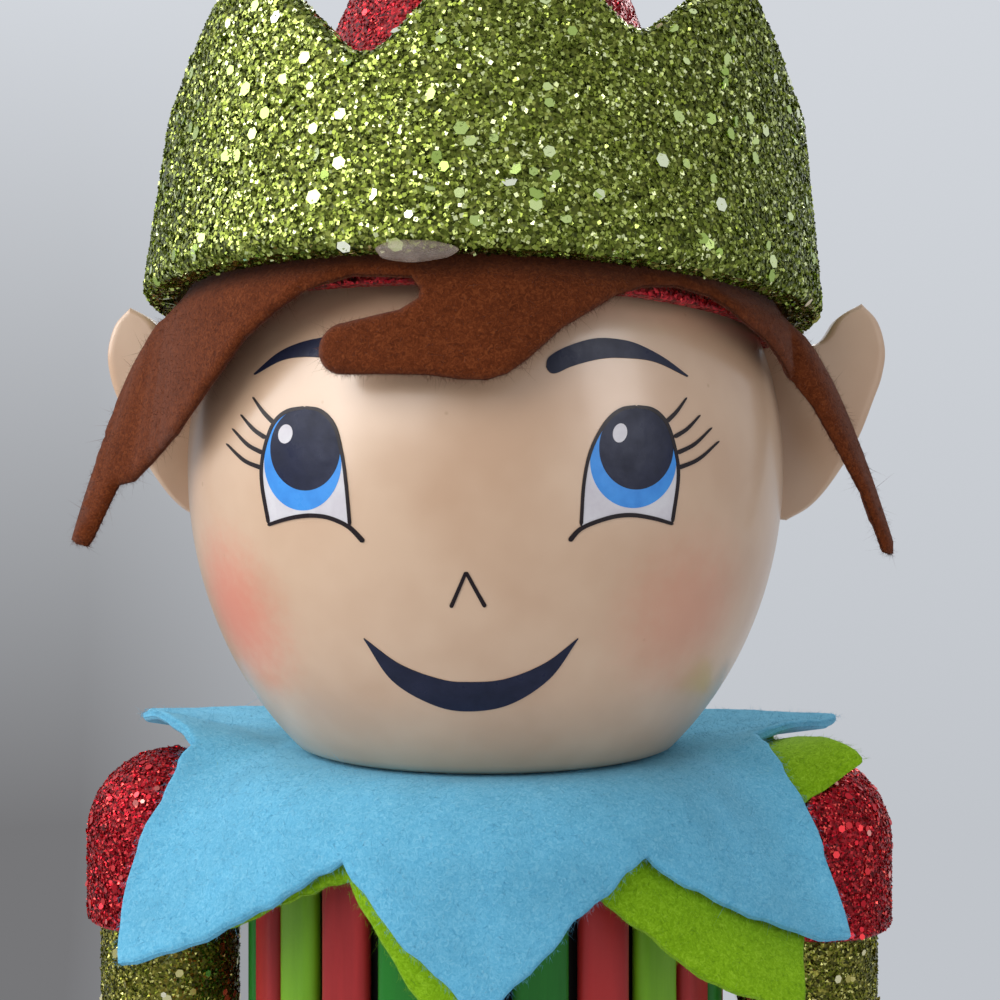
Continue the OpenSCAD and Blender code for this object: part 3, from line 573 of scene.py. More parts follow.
collars = {
    "lime_collar": dict(layer=0, tip=53.6, slot="lime_felt", material=limeFelt, restsOn="torso_core", edge=[
        (-180, 0.89), (-150, 0.66), (-115, 0.84), (-85, 0.64), (-75, 0.67), (-70, 0.735), (-60, 0.905),
        (-42.5, 0.79), (-32.5, 0.71), (-22.5, 0.669), (-12.5, 0.817), (-2.5, 0.95), (2.5, 0.9), (17.5, 0.66),
        (22.5, 0.68), (32.5, 0.79), (42.5, 0.92), (52.5, 1), (57.5, 0.912), (62.5, 0.833), (67.5, 0.76),
        (72.5, 0.696), (77.5, 0.748), (82.5, 0.854), (92.5, 0.754), (100, 0.69), (125, 0.85), (150, 0.66),
        (180, 0.89)]),
    "blue_collar": dict(layer=1, tip=54.2, slot="blue_felt", material=blueFelt, restsOn="lime_collar", edge=[
        (-180, 0.99), (-150, 0.69), (-115, 0.99), (-82.5, 0.667), (-77.5, 0.698), (-72.5, 0.743),
        (-67.5, 0.829), (-62.5, 0.935), (-57.5, 1), (-52.5, 0.955), (-42.5, 0.85), (-32.5, 0.753),
        (-22.5, 0.675), (-12.5, 0.794), (-2.5, 0.895), (2.5, 0.947), (12.5, 0.834), (17.5, 0.778),
        (27.5, 0.698), (32.5, 0.675), (37.5, 0.728), (47.5, 0.815), (57.5, 0.915), (62.5, 0.966),
        (67.5, 0.824), (72.5, 0.738), (77.5, 0.68), (82.5, 0.642), (90, 0.63), (115, 0.96), (150, 0.69),
        (180, 0.99)])}
collarHalf, collarPitch = collarForm["thick"] / 2, collarForm["thick"] + collarForm["gap"]
limeZ = headForm["flatZ"] - collarForm["under"] - collarForm["thick"] - collarPitch
tiltAngle = np.arange(-9, 190)
tiltTable = np.interp(np.abs(tiltAngle), *np.array(collarForm["tilts"], float).T)
tiltTable = np.convolve(tiltTable, np.ones(7) / 7, "same")


def collarEdge(angle, form):  # flat radius of the edge, with the small waver of scissors
    waver = 0.2 * np.sin(np.radians(angle) * 31 + form["layer"]) + 0.13 * np.sin(np.radians(angle) * 73 + 2)
    return form["tip"] * np.interp(angle, *np.array(form["edge"], float).T) + waver


def collarFace(angle, s, layer, offset):
    # the felt at a flat radius s: flat, then round the bend, then straight, at an offset from its underside
    tilt = np.interp(np.abs(angle), tiltAngle, tiltTable)
    bend = collarForm["bend"] + np.where(tilt > 0, layer, 1 - layer) * collarPitch
    full, side = np.radians(np.abs(tilt)), np.sign(tilt)
    turned = np.minimum(full, np.maximum(0, s - collarForm["bendFrom"]) / bend)
    straight = np.maximum(0, s - collarForm["bendFrom"] - bend * full)
    r = np.minimum(s, collarForm["bendFrom"]) + bend * np.sin(turned) + straight * np.cos(turned)
    drop = side * (bend * (1 - np.cos(turned)) + straight * np.sin(turned))
    z = limeZ + layer * collarPitch - drop
    return around(angle, r + offset * np.sin(side * turned), z + offset * np.cos(turned))


for name, form in collars.items():
    felt, slot, layer, hole = form["material"], form["slot"], form["layer"], collarForm["hole"]
    for side, way in bothSides:
        first = min(way, 0) * 180.0
        angle = np.arange(first, first + 180 + 1e-6, collarForm["step"])
        edge = collarEdge(angle, form)
        share = np.linspace(0, 1, collarForm["rows"])[:, None] ** 0.9
        s = hole + (edge - collarHalf - hole) * share
        s = np.concatenate([s, edge - collarHalf * np.array(collarForm["edgeRows"])[:, None]])
        swell = softEdge(edge - s, collarForm["thick"])
        upper, lower = (collarFace(angle[None], s, layer, collarHalf + face * swell) for face in (1, -1))
        points, faces = shellOf(upper, lower)
        piece = makePiece(f"{name}_{side}", points, [faces], felt, None, slot, [name], 60)
        seed = 100 + 10 * layer + way
        rim, outward = (a.repeat(collarForm["edgeFibres"], 0) for a in (upper[-2], upper[-2] - upper[-6]))
        rim = rim + np.random.default_rng(seed).uniform(-1, 1, rim.shape) * collarForm["jitter"]
        fuzz = addFibres(f"{name}_{side}_edge_fibres", rim, outward, wool["collarEdge"], felt, slot, seed,
                         None)
        nap = addNap(f"{name}_{side}_fibres", upper.reshape(-1, 3), [gridFaces(*upper.shape[:2])],
                     collarForm["faceFibres"], (seed + 1, seed, seed), felt, slot, None)
        for soft in (piece, fuzz, nap):
            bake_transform(soft)
print("collars draped")

# Hat, cuff and hair sit a little tilted on the head, turned round a point inside the cuff.
# They are worked out upright and tilted at the end.
hatForm = dict(rimRise=15.8, rimW=3.0, lean=4.5, draw=0.85, h=79.0, tipR=4.0, worn=0.8, wornH=1.3, room=0.5,
               back=3.5, side=1.4, count=144, flakes=40000, flakesFrom=12.0)
cuffForm = dict(rise=2.6, h=35.2, thick=4.2, topThick=3.0, lean=6.3, clear=1.0, roundR=4.0, rows=48, step=0.4,
                soft=0.9, seatFrom=91.0, seatW=6.0, seatH=9.0, pivot=0.35, flakes=120000, flakesIn=9.0,
                cuts=[(-70, 21.4), (-16.5, 20.7), (27, 24.5), (75, 22.4), (126, 22), (180, 22), (236, 22)])
hairForm = dict(
    thick=1.3, clear=0.4, top=6.0, root=0.6, flare=10.0, fall=26.8, curls=(0.57, 0.38), grid=0.7, parts=4,
    edgeStep=0.1, edgeFibres=6, hidden=1.5, faceFibres=6000, finger=(-18.2, -7.1), fingerR=2.6,
    left=[(88.5, 84, 1, 0.92), (85.5, 82, 1, 0.95), (82.5, 80.5, 0.91, 0.94), (81.2, 79.8, 0.82, 0.82),
          (80, 79, 0.71, 0.69), (77, 77, 0.51, 0.535), (74, 75, 0.24, 0.33), (71, 73.7, 0, 0.21),
          (60, 60, 0, 0.097), (51, 51, 0, 0.04), (44, 44, 0, -0.035), (36.5, 36.5, 0, -0.05)],
    middle=[(29.5, 0.7), (24, -0.8), (15.3, -4.6), (10, -8), (7, -9.5), (4, -10.2), (0, -10.2), (-5, -9.8)],
    back=[(-9.5, -3.3), (-6.6, -2.1), (-6.4, -1.2), (-8, 0.3), (-18, 0.7)],
    right=[(-26.5, -26.5, 0, 0.033), (-32, -32, 0, 0.105), (-38, -38, 0, 0.19), (-43.5, -43.5, 0, 0.313),
           (-50, -50, 0, 0.437), (-57, -57, 0, 0.545), (-65, -65, 0, 0.595), (-73, -70, 0.07, 0.645),
           (-76, -75, 0.24, 0.72), (-78, -77.2, 0.41, 0.735), (-80, -77.6, 0.52, 0.85),
           (-82, -78, 0.64, 0.98), (-84, -78.3, 0.69, 1.01), (-86.5, -79, 0.81, 1),
           (-89, -79.5, 0.87, 0.985)])
rimZ = headZ + hatForm["rimRise"]
rimR = float(headAt(rimZ)) + hatForm["rimW"]
hatTipZ = rimZ + hatForm["h"]
cuffZ = rimZ + cuffForm["rise"]
pivot = np.array([0, 0, cuffZ + cuffForm["pivot"] * cuffForm["h"]])
tiltTurn = np.array(Matrix.Rotation(math.radians(hatForm["side"]), 3, "Y")
                    @ Matrix.Rotation(math.radians(-hatForm["back"]), 3, "X"))


def tilted(points):  # points turned with the hat
    return (points - pivot) @ tiltTurn.T + pivot


def hatAt(z):  # radius of the hat: a cone that draws in above its rim, carried on below it by the felt
    below = rimR + (rimZ - z) * math.tan(math.radians(hatForm["lean"]))
    above = rimR + (hatForm["tipR"] - rimR) * (np.maximum(z - rimZ, 0) / hatForm["h"]) ** hatForm["draw"]
    return np.where(z < rimZ, below, above)


# Hair: one felt sheet under the cuff. Each lock has a few columns, as in the CAD: the angle under the
# cuff, the angle at its end, its share of the stand-off and its share of the fall below the rim.
def finer(rows, parts):  # a table with more rows, set evenly between its own
    rows = np.asarray(rows, float)
    at = np.linspace(0, len(rows) - 1, parts * (len(rows) - 1) + 1)
    return np.stack([np.interp(at, np.arange(len(rows)), column) for column in rows.T], -1)


locks = {side: finer(hairForm[side], hairForm["parts"]) for side, _ in bothSides}
hairColumns = np.concatenate([locks["right"][::-1], locks["left"][::-1]])


def hairPoint(u, v):
    # u is the arc on a rim-sized circle, v the height above the rim; the stand-off at a height is
    # read between the columns that pass on either side there
    angle, z = np.degrees(u / rimR), rimZ + v
    first, last, share, drop = hairColumns.T
    freeZ = cuffZ - hairForm["thick"] * (0.3 + 1.3 * np.minimum(1, 4 * share))
    endZ = rimZ - drop * hairForm["fall"]
    free = np.clip((freeZ - z[:, None]) / (freeZ - endZ), 0, 1)
    at = first + (last - first) * free
    flare = share * hairForm["flare"] * free ** np.where(first > 0, *hairForm["curls"])
    row = np.arange(len(z))
    k = np.clip((at <= angle[:, None]).sum(1) - 1, 0, len(first) - 2)
    t = np.clip((angle - at[row, k]) / (at[row, k + 1] - at[row, k]), 0, 1)
    flare = flare[row, k] * (1 - t) + flare[row, k + 1] * t
    r = np.maximum(hatAt(z), headAt(z)) + hairForm["clear"] + hairForm["thick"] / 2 + flare
    return around(angle, r, z)


def densify(line, gap):  # points along a closed line, no further apart than a gap
    parts = []
    for a, b in zip(line, np.roll(line, -1, 0)):
        n = max(1, int(np.ceil(np.linalg.norm(b - a) / gap)))
        parts.append(a + (b - a) * np.arange(n)[:, None] / n)
    return np.concatenate(parts)


def gapTo(line, points):  # distance of each point from the nearest point of a line
    blocks = np.array_split(points, len(points) // 200 + 1)
    return np.sqrt(np.concatenate([((block[:, None] - line) ** 2).sum(-1).min(1) for block in blocks]))


def insideLine(points, line):  # even-odd count of the line's crossings to the right of each point
    x, y = points[:, :1], points[:, 1:]
    a, b = line, np.roll(line, -1, 0)
    spans = (a[:, 1] > y) != (b[:, 1] > y)
    at = (b[:, 0] - a[:, 0]) * (y - a[:, 1]) / (b[:, 1] - a[:, 1] + 1e-12) + a[:, 0]
    return (spans & (x < at)).sum(1) % 2 == 1


def cross2(verts, faces):  # twice the signed area of each flat triangle
    one, two = (verts[faces[:, k]] - verts[faces[:, 0]] for k in (1, 2))
    return one[:, 0] * two[:, 1] - one[:, 1] * two[:, 0]


def feltFlat(line, grid, seed):
    # a flat felt shape as triangles: its densified line, and a jittered grid of points inside it
    line = densify(line, grid * 0.7)
    low, high = line.min(0), line.max(0)
    mesh = np.stack(np.meshgrid(*[np.arange(low[k], high[k], grid) for k in (0, 1)]), -1).reshape(-1, 2)
    mesh = mesh + np.random.default_rng(seed).uniform(-0.2, 0.2, mesh.shape) * grid
    mesh = mesh[insideLine(mesh, line)]
    flat = np.concatenate([line, mesh[gapTo(line, mesh) > 0.55 * grid]])
    edges = [(i, (i + 1) % len(line)) for i in range(len(line))]
    verts, _, faces, *_ = delaunay_2d_cdt([Vector(p) for p in flat], edges, [], 1, 1e-5)
    verts = np.array([list(v) for v in verts])
    faces = np.array([f for f in faces if len(f) == 3])
    over = cross2(verts, faces) < 0
    faces[over] = faces[over][:, ::-1]
    return verts, faces


def feltSolid(verts, faces, surface, thick, line):
    # the flat shape laid on a surface and given a thickness that is soft along its line; every open
    # side is closed with a strip
    step = 0.05
    u, v = verts.T
    middle = surface(u, v)
    out = unit(np.cross(surface(u + step, v) - surface(u - step, v),
                        surface(u, v + step) - surface(u, v - step)))
    swell = out * softEdge(gapTo(line, verts), thick)[:, None]
    n = len(verts)
    pairs = np.concatenate([faces[:, [0, 1]], faces[:, [1, 2]], faces[:, [2, 0]]])
    rim = pairs[~np.isin(pairs @ [1, n], pairs @ [n, 1])]
    strips = np.stack([rim[:, 1], rim[:, 0], rim[:, 0] + n, rim[:, 1] + n], -1)
    points = np.concatenate([middle + swell, middle - swell])
    return points, [np.concatenate([faces, faces[:, ::-1] + n]), strips]


# The cut line, as angles and heights: down the left lock, along its edge and the fringe, round the end
# of the fringe's finger, and up along the right lock
fingerTurn = np.radians(np.linspace(-90, -270, 13))
fingerArc = np.stack([hairForm["finger"][0] + np.degrees(hairForm["fingerR"] * np.cos(fingerTurn) / rimR),
                      hairForm["finger"][1] + hairForm["fingerR"] * np.sin(fingerTurn)], -1)
lockEnds = {side: lock[:, [1, 3]] * [1, -hairForm["fall"]] for side, lock in locks.items()}
hairTop, hairRoot = cuffForm["rise"] + hairForm["top"], hairForm["root"]
leftTop, rightTop = hairForm["left"][0][0], hairForm["right"][-1][0]
hairFlat = np.concatenate([
    [(leftTop, hairTop), (leftTop, hairRoot)], lockEnds["left"], hairForm["middle"], fingerArc,
    hairForm["back"], lockEnds["right"], [(rightTop, hairRoot), (rightTop, hairTop)]])
hairFlat = hairFlat * [math.radians(1) * rimR, 1]
hairVerts, hairFaces = feltFlat(hairFlat, hairForm["grid"], 3)
hairEdge = densify(hairFlat, hairForm["edgeStep"])
hairPoints, hairSides = feltSolid(hairVerts, hairFaces, hairPoint, hairForm["thick"], hairEdge)
hairPoints = tilted(hairPoints)
hair = makePiece("felt_hair", hairPoints, hairSides, brownFelt, slot="brown_felt",
                 nodes=["felt_fringe", "left_hair_lock", "right_hair_lock"], sharp=120)
hairRim = hairEdge[hairEdge[:, 1] < hairTop - hairForm["hidden"]].repeat(hairForm["edgeFibres"], 0)
rimSpots = tilted(hairPoint(*hairRim.T))
rimWays = np.random.default_rng(7).normal(size=rimSpots.shape) - [0, 0, 0.8]
addFibres("hair_edge_fibres", rimSpots, rimWays, wool["hairEdge"], brownFelt, "brown_felt", 8)
addNap("hair_fibres", hairPoints, [hairSides[0][:len(hairFaces)]], hairForm["faceFibres"], (9, 10, 11),
       brownFelt, "brown_felt")
print("hair cut")


# Glitter: each flake is a cut chip of foil on a leaning plane, with a point down in the glue.
# A glitter has fine chips all over and a few large hexagons that lie flatter on them.
flakeLimit = 32000
glitters = dict(
    green=dict(fine=0.52, coarse=1.35, share=0.005, corners=4, ground=greenGlitter, flake=greenFlake,
               chip=paleFlake),
    red=dict(fine=0.42, coarse=0.8, share=0.02, corners=3, ground=redGlitter, flake=redFlake, chip=redChip),
    gold=dict(fine=0.45, coarse=1.0, share=0.015, corners=3, ground=goldGlitter, flake=goldFlake,
              chip=goldChip))
flakeLay, chipLay = dict(lean=0.6, lift=0.1, bright=0.0), dict(lean=0.35, lift=0.2, bright=0.1)


def addFlakes(name, spots, normals, size, corners, material, body, slot, seed, lean, lift, bright):
    # tone is mostly low, with a few bright chips; no piece holds more than the limit of chips
    rng = np.random.default_rng(seed)
    n = len(spots)
    up = unit(normals + lean * rng.normal(size=(n, 3)) * rng.random((n, 1)))
    one = unit(np.cross(up, rng.normal(size=(n, 3))))
    two = np.cross(up, one)
    half = size / 2 * rng.uniform(0.7, 1.25, (n, 1, 1))
    turn = np.linspace(0, 2 * np.pi, corners, endpoint=False)[None, :, None]
    centre = spots + normals * lift
    rim = centre[:, None] + half * (np.cos(turn) * one[:, None] + np.sin(turn) * two[:, None])
    root = spots[:, None] - normals[:, None] * half * 1.1
    points = np.concatenate([rim, root], 1)
    tones = bright + (1 - bright) * rng.random(n) ** 1.9
    k = np.arange(corners)
    for i, start in enumerate(range(0, n, flakeLimit)):
        part = slice(start, start + flakeLimit)
        first = np.arange(len(points[part]))[:, None] * (corners + 1)
        faces = [first + k, (first[:, None] + fan(k, corners, True)).reshape(-1, 3)]
        corner = points[part].reshape(-1, 3)
        piece = makePiece(f"{name}_{i + 1}", corner, faces, material, body, slot, sharp=20)
        tone = piece.data.attributes.new("flakeTone", "FLOAT", "POINT")
        tone.data.foreach_set("value", np.repeat(tones[part], corners + 1).astype(np.float32))


def addGlitter(node, name, mesh, count, seed, kind, seen, body="figure", hatted=False, skin=None, sharp=50):
    # a node's ground of glue, then flakes and chips over its skin where they can be seen; a piece of the
    # hat is tilted at the end
    form, slot = glitters[kind], f"{kind}_glitter"
    points, faces = mesh
    makePiece(node, tilted(points) if hatted else points, faces, form["ground"], body, slot, [node], sharp)
    sorts = [("flakes", count, form["fine"], form["corners"], form["flake"], flakeLay),
             ("chips", int(count * form["share"]), form["coarse"], 6, form["chip"], chipLay)]
    for part, number, size, corners, material, lay in sorts:
        spots, normals = scatter(*(skin or mesh), number, seed + corners)
        kept = seen(spots, normals)
        spots, normals = spots[kept], normals[kept]
        if hatted:
            spots, normals = tilted(spots), normals @ tiltTurn.T
        addFlakes(f"{name}_{part}", spots, normals, size, corners, material, body, slot, seed + 10 + corners,
                  **lay)


# Hat cone: the rim is a little worn, the hollow follows the head with room for the tilt
hatRoom, hatZ, wornZ = hatForm["room"], np.linspace(cuffZ, hatTipZ, 60), rimZ + hatForm["wornH"]
hatLine = roundedLine([(float(headAt(rimZ)) + hatRoom, rimZ), (rimR - hatForm["worn"], rimZ),
                       (float(hatAt(wornZ)), wornZ), (float(hatAt(cuffZ)), cuffZ)], 0.5)
outside = np.concatenate([hatLine, np.stack([hatAt(hatZ), hatZ], -1)[1:], [[0, hatTipZ]]])
crownZ = headForm["crownZ"] + hatRoom
insideZ = np.linspace(crownZ, rimZ, 30)[1:-1]
hollow = np.stack([headAt(insideZ - hatRoom) + hatRoom, insideZ], -1)
hatMesh = revolve(np.concatenate([[[0, crownZ]], hollow, outside]), hatForm["count"])
hatSkin = revolve(np.concatenate([[[0, rimZ - 0.01]], outside]), hatForm["count"])


def hatSeen(spots, normals):  # above the cuff's valleys, and the rim all round
    z = spots[:, 2]
    return (normals[:, 2] > -0.5) & ((z > cuffZ + hatForm["flakesFrom"]) | (z < cuffZ))


addGlitter("hat_cone", "hat", hatMesh, hatForm["flakes"], 11, "red", hatSeen, hatted=True, skin=hatSkin)

# Cuff: a leaning band whose wall thins upwards, with seven hand-cut notches. The edge at an angle is
# the lowest of the notches there: a round valley, then a straight slope up to the point. Round the
# back, where no hair lies between them, the wall is thicker at its foot and seats on the hat.
cuffGap, cuffRound = hairForm["thick"] + cuffForm["clear"], cuffForm["roundR"]
cuffOutR = float(hatAt(cuffZ)) + cuffGap + cuffForm["thick"]
cuffAngle = np.arange(0, 360, cuffForm["step"])
cuffTop = np.full(len(cuffAngle), cuffForm["h"])
cutAngles = [a for a, _ in cuffForm["cuts"]]
for k, (at, valley) in enumerate(cuffForm["cuts"]):
    away = (cuffAngle - at + 180) % 360 - 180
    across = np.abs(np.sin(np.radians(away))) * cuffOutR
    for way, nextAt in ((1, cutAngles[(k + 1) % len(cutAngles)]), (-1, cutAngles[k - 1])):
        reach = cuffOutR * math.sin(math.radians((way * (nextAt - at)) % 360 / 2)) - 1
        slope = math.atan2(cuffForm["h"] - valley + 0.5, reach)
        low = cuffRound * math.sin(slope)
        bowl = cuffRound - np.sqrt(cuffRound ** 2 - np.minimum(across, low) ** 2)
        rise = bowl + np.maximum(across - low, 0) * math.tan(slope)
        near = (away * way >= 0) & (np.abs(away) < 60)
        cuffTop = np.where(near, np.minimum(cuffTop, valley + rise), cuffTop)
cuffRows = np.linspace(0, 1, cuffForm["rows"])[:, None]
cuffUp = cuffRows * cuffTop
edgeRound = cuffForm["soft"] * (1 - np.minimum(1, np.minimum(cuffRows, 1 - cuffRows) * 18)) ** 2
cuffR = cuffOutR - cuffUp * math.tan(math.radians(cuffForm["lean"]))
wall = cuffForm["thick"] + (cuffForm["topThick"] - cuffForm["thick"]) * cuffUp / cuffForm["h"]
turnedBy = np.abs((cuffAngle + 180) % 360 - 180)
noHair = np.clip((turnedBy - cuffForm["seatFrom"]) / cuffForm["seatW"], 0, 1)
wall = wall + cuffGap * noHair * np.clip(1 - cuffUp / cuffForm["seatH"], 0, 1)
cuffOuter = around(cuffAngle[None], cuffR - edgeRound, cuffZ + cuffUp)[::-1]
cuffInner = around(cuffAngle[None], cuffR - wall + 0.4 * edgeRound, cuffZ + cuffUp)[::-1]
cuffPoints, cuffFaces = shellOf(cuffOuter, cuffInner, True)


def cuffSeen(spots, normals):  # the outside, the upper edge and the part of the inside above the hat
    outward = (spots * [1, 1, 0] * normals).sum(1)
    edge = np.interp(np.degrees(np.arctan2(spots[:, 0], -spots[:, 1])) % 360, cuffAngle, cuffTop) + cuffZ
    return (outward > -1) | (spots[:, 2] > edge - cuffForm["flakesIn"])


addGlitter("hat_cuff", "cuff", (cuffPoints, [cuffFaces]), cuffForm["flakes"], 21, "green", cuffSeen,
           hatted=True, sharp=70)

# A dab of glue that has run out under the cuff's front, lumpy round its rim
dabForm = dict(at=-6.5, up=-0.5, inset=0.6, half=(4.2, 1.1, 1.1), rows=21, cols=48)
turn = np.linspace(0, 2 * np.pi, dabForm["cols"], endpoint=False)
rise = np.linspace(-np.pi / 2, np.pi / 2, dabForm["rows"])[:, None]
lump = np.cos(rise) * (1 + 0.05 * np.sin(3 * turn + 1) + 0.02 * np.sin(7 * turn))
dab = np.stack([np.cos(turn) * lump, np.sin(turn) * lump, np.sin(rise) + 0 * turn], -1)
along, up, out = np.moveaxis(dab * dabForm["half"], -1, 0)
dab = around(dabForm["at"] + np.degrees(along / cuffOutR), cuffOutR - dabForm["inset"] + out,
             cuffZ + dabForm["up"] + up)
makePiece("glue_dab", tilted(dab.reshape(-1, 3)), [gridFaces(dabForm["rows"], dabForm["cols"], True)], glue,
          slot="green_glitter")

# Ball on the tip, cut flat below where it is glued on
ballForm = dict(r=9.0, count=72, flakes=7000, flakesFrom=0.3)
ballZ = hatTipZ + math.sqrt(ballForm["r"] ** 2 - hatForm["tipR"] ** 2)
ballArc = arc(ballForm["r"], ballZ, -math.acos(hatForm["tipR"] / ballForm["r"]), np.pi / 2, 40)[:-1]
ballLine = np.concatenate([[[0, hatTipZ]], ballArc, [[0, ballZ + ballForm["r"]]]])
addGlitter("hat_ball", "ball", revolve(ballLine, ballForm["count"]), ballForm["flakes"], 31, "green",
           lambda spots, normals: spots[:, 2] > hatTipZ + ballForm["flakesFrom"], hatted=True)
print("hat made")

# Ears: flat leaf shapes with soft edges, let into the head; the right one sits deeper, as photographed.
# Each outline is a pair of lines from the tip to the lobe, as shares of the ear's reach and height.
earForm = dict(reach=13.1, up=20.4, inset=dict(left=0, right=1.4), soft=0.5, softW=0.9, rows=48, cols=33,
               outer=[(0.78, 1), (0.93, 0.89), (1, 0.72), (0.97, 0.56), (0.893, 0.417), (0.74, 0.17),
                      (0.51, -0.074), (0.3, -0.23), (0.07, -0.32)],
               inner=[(0.78, 1), (0.565, 0.917), (0.344, 0.755), (-0.2, 0.74), (-0.44, 0.3), (-0.44, -0.1),
                      (-0.3, -0.28), (0.07, -0.32)])
for side, way in bothSides:
    box = boxOf(f"{side}_ear")
    outer, inner = (smoothLine(np.array(earForm[k]) * [earForm["reach"], earForm["up"]], earForm["rows"])
                    for k in ("outer", "inner"))
    share = 0.5 - 0.5 * np.cos(np.linspace(0, np.pi, earForm["cols"]))
    x = headR - earForm["inset"][side] + outer[:, :1] * (1 - share) + inner[:, :1] * share
    z = headZ + outer[:, 1:] * (1 - share) + inner[:, 1:] * share
    gap = np.minimum(share, 1 - share) * np.linalg.norm(outer - inner, axis=1)[:, None]
    edge = earForm["soft"] * (1 - np.minimum(1, gap / earForm["softW"])) ** 2
    front, back = (np.stack([way * x, y, z], -1)[:, ::way] for y in (box[0, 1] + edge, box[1, 1] - edge))
    points, faces = shellOf(front, back)
    makePiece(f"{side}_ear", points, [faces], plainSkin, slot="skin_paint", nodes=[f"{side}_ear"], sharp=80)
print("ears made")

# Torso: painted slats with round edges on the flats of the core. Every other slat is red,
# and between them dark green and lime take turns.
slatBox = boxOf("red_slats")
slatForm = dict(count=24, thick=2.4, gap=0.9, z0=slatBox[0, 2], z1=slatBox[1, 2], ends=(0, 0.1, 0.3, 0.6),
                draw=0.09, endRow=1.5)
slatR, slatPitch = slatForm["thick"] / 2, 360 / slatForm["count"]
coreR = slatBox[1, 1] - slatForm["thick"]
slatW = 2 * coreR * math.tan(math.radians(slatPitch / 2)) - slatForm["gap"]


def slatMesh(index):
    # a stadium outline swept up, drawn in at both ends, and turned to its flat of the core
    half = slatW / 2 - slatR
    tall, endRow = slatForm["z1"] - slatForm["z0"], slatForm["endRow"]
    a = np.linspace(-np.pi / 2, np.pi / 2, 11)
    roundEnd = np.stack([half + slatR * np.cos(a), slatR * np.sin(a)], -1)
    ends = np.array(slatForm["ends"])
    rise = np.concatenate([ends, np.linspace(endRow, tall - endRow, 12), tall - ends[::-1]])
    draw = 1 - slatForm["draw"] * np.clip(1 - np.minimum(rise, rise[::-1]) / ends[-1], 0, 1) ** 2
    flat = np.concatenate([roundEnd, -roundEnd])[None] * draw[:, None, None]
    out = -(coreR + slatR) + flat[..., 1]
    turn = math.radians(index * slatPitch)
    x = flat[..., 0] * math.cos(turn) - out * math.sin(turn)
    y = flat[..., 0] * math.sin(turn) + out * math.cos(turn)
    rows, cols = x.shape
    points = np.stack([x, y, np.repeat((slatForm["z0"] + rise)[:, None], cols, 1)], -1).reshape(-1, 3)
    top = (rows - 1) * cols + np.arange(cols)[None]
    return points, gridFaces(rows, cols, True)[:, ::-1], np.arange(cols)[None, ::-1], top


greens, limes = (list(range(first, slatForm["count"] // 2, 4)) for first in (1, 3))
slatSets = [("red", range(0, slatForm["count"], 2), redPaint, "red_paint"),
            ("dark_green", greens + [-i for i in greens], greenPaint, "green_paint"),
            ("lime", limes + [-i for i in limes], limePaint, "lime_paint")]
for colour, places, material, slot in slatSets:
    name = f"{colour}_slats"
    makePiece(name, *joinMeshes([slatMesh(i) for i in places]), material, slot=slot, nodes=[name], sharp=55)


def post(r, low, high, soft):  # the profile of an upright round bar with rounded rims
    return roundedLine([(0, low), (r, low), (r, high), (0, high)], soft, 6)


def turned(name, line, material, slot, x=0.0, count=96):  # a turned piece that replaces its node
    makePiece(name, *revolve(line, count, x), material, slot=slot, nodes=[name])


def spanOf(node):  # a round node's middle, radius, foot and top
    low, high = boxOf(node)
    return (low[0] + high[0]) / 2, (high[0] - low[0]) / 2, low[2], high[2]


_, bandR, bandLow, bandHigh = spanOf("waistband")
_, hipR, hipLow, hipHigh = spanOf("hip_block")
_, plinthR, _, plinthH = spanOf("plinth")
lowerForm = dict(bandRound=0.7, bandGap=0.1, bandCount=120, hipSlope=4, hipRound=2.2, plinthRound=0.9,
                 plinthCount=144, step=6, footShare=0.4, coveShare=0.62, coveIn=1.6, legTaper=1.2,
                 legRound=0.7)
bandIn, bandMid, bandCount = hipR + lowerForm["bandGap"], (bandLow + bandHigh) / 2, lowerForm["bandCount"]
bandRing = roundedLine([(bandIn, bandMid), (bandIn, bandLow), (bandR, bandLow), (bandR, bandHigh),
                        (bandIn, bandHigh), (bandIn, bandMid)], lowerForm["bandRound"])[:-1]
ring = around(np.linspace(0, 360, bandCount, endpoint=False)[None], bandRing[:, :1], bandRing[:, 1:])
bandFaces = gridFaces(len(ring) + 1, bandCount, True)[:, ::-1] % (len(ring) * bandCount)
makePiece("waistband", ring.reshape(-1, 3), [bandFaces], blackPaint, slot="black_paint", nodes=["waistband"])
hipSlope = lowerForm["hipSlope"]
hipLine = [(0, hipLow), (hipR - hipSlope, hipLow), (hipR, hipLow + hipSlope), (hipR, hipHigh), (0, hipHigh)]
turned("hip_block", roundedLine(hipLine, lowerForm["hipRound"], 6), redPaint, "red_paint")
footH, topR = plinthH * lowerForm["footShare"], plinthR - lowerForm["step"]
cove = roundedLine([(topR, footH + 1), (topR - lowerForm["coveIn"], plinthH * lowerForm["coveShare"]),
                    (topR, plinthH - 3)], 4, 8)
plinthLine = [(0, 0), (plinthR, 0), (plinthR, footH), (topR, footH + 0.6), *cove[1:-1], (topR, plinthH),
              (0, plinthH)]
turned("plinth", roundedLine(plinthLine, lowerForm["plinthRound"], 6), greenPaint, "green_paint",
       count=lowerForm["plinthCount"])
for side, _ in bothSides:
    legX, legR, legLow, legHigh = spanOf(f"{side}_leg")
    legLine = [(0, legLow), (legR - lowerForm["legTaper"], legLow), (legR, legHigh), (0, legHigh)]
    turned(f"{side}_leg", roundedLine(legLine, lowerForm["legRound"], 6), redPaint, "red_paint", legX, 72)
print("body made")

# Boots: a shaft with a collar, and a round toe
bootForm = dict(brim=1.0, brimH=5.0, slope=0.4, soft=0.9, count=72, toeShare=0.86, toeCount=48, toeBack=6.0,
                middle=0.35, flakes=11000, flakesFrom=0.6)


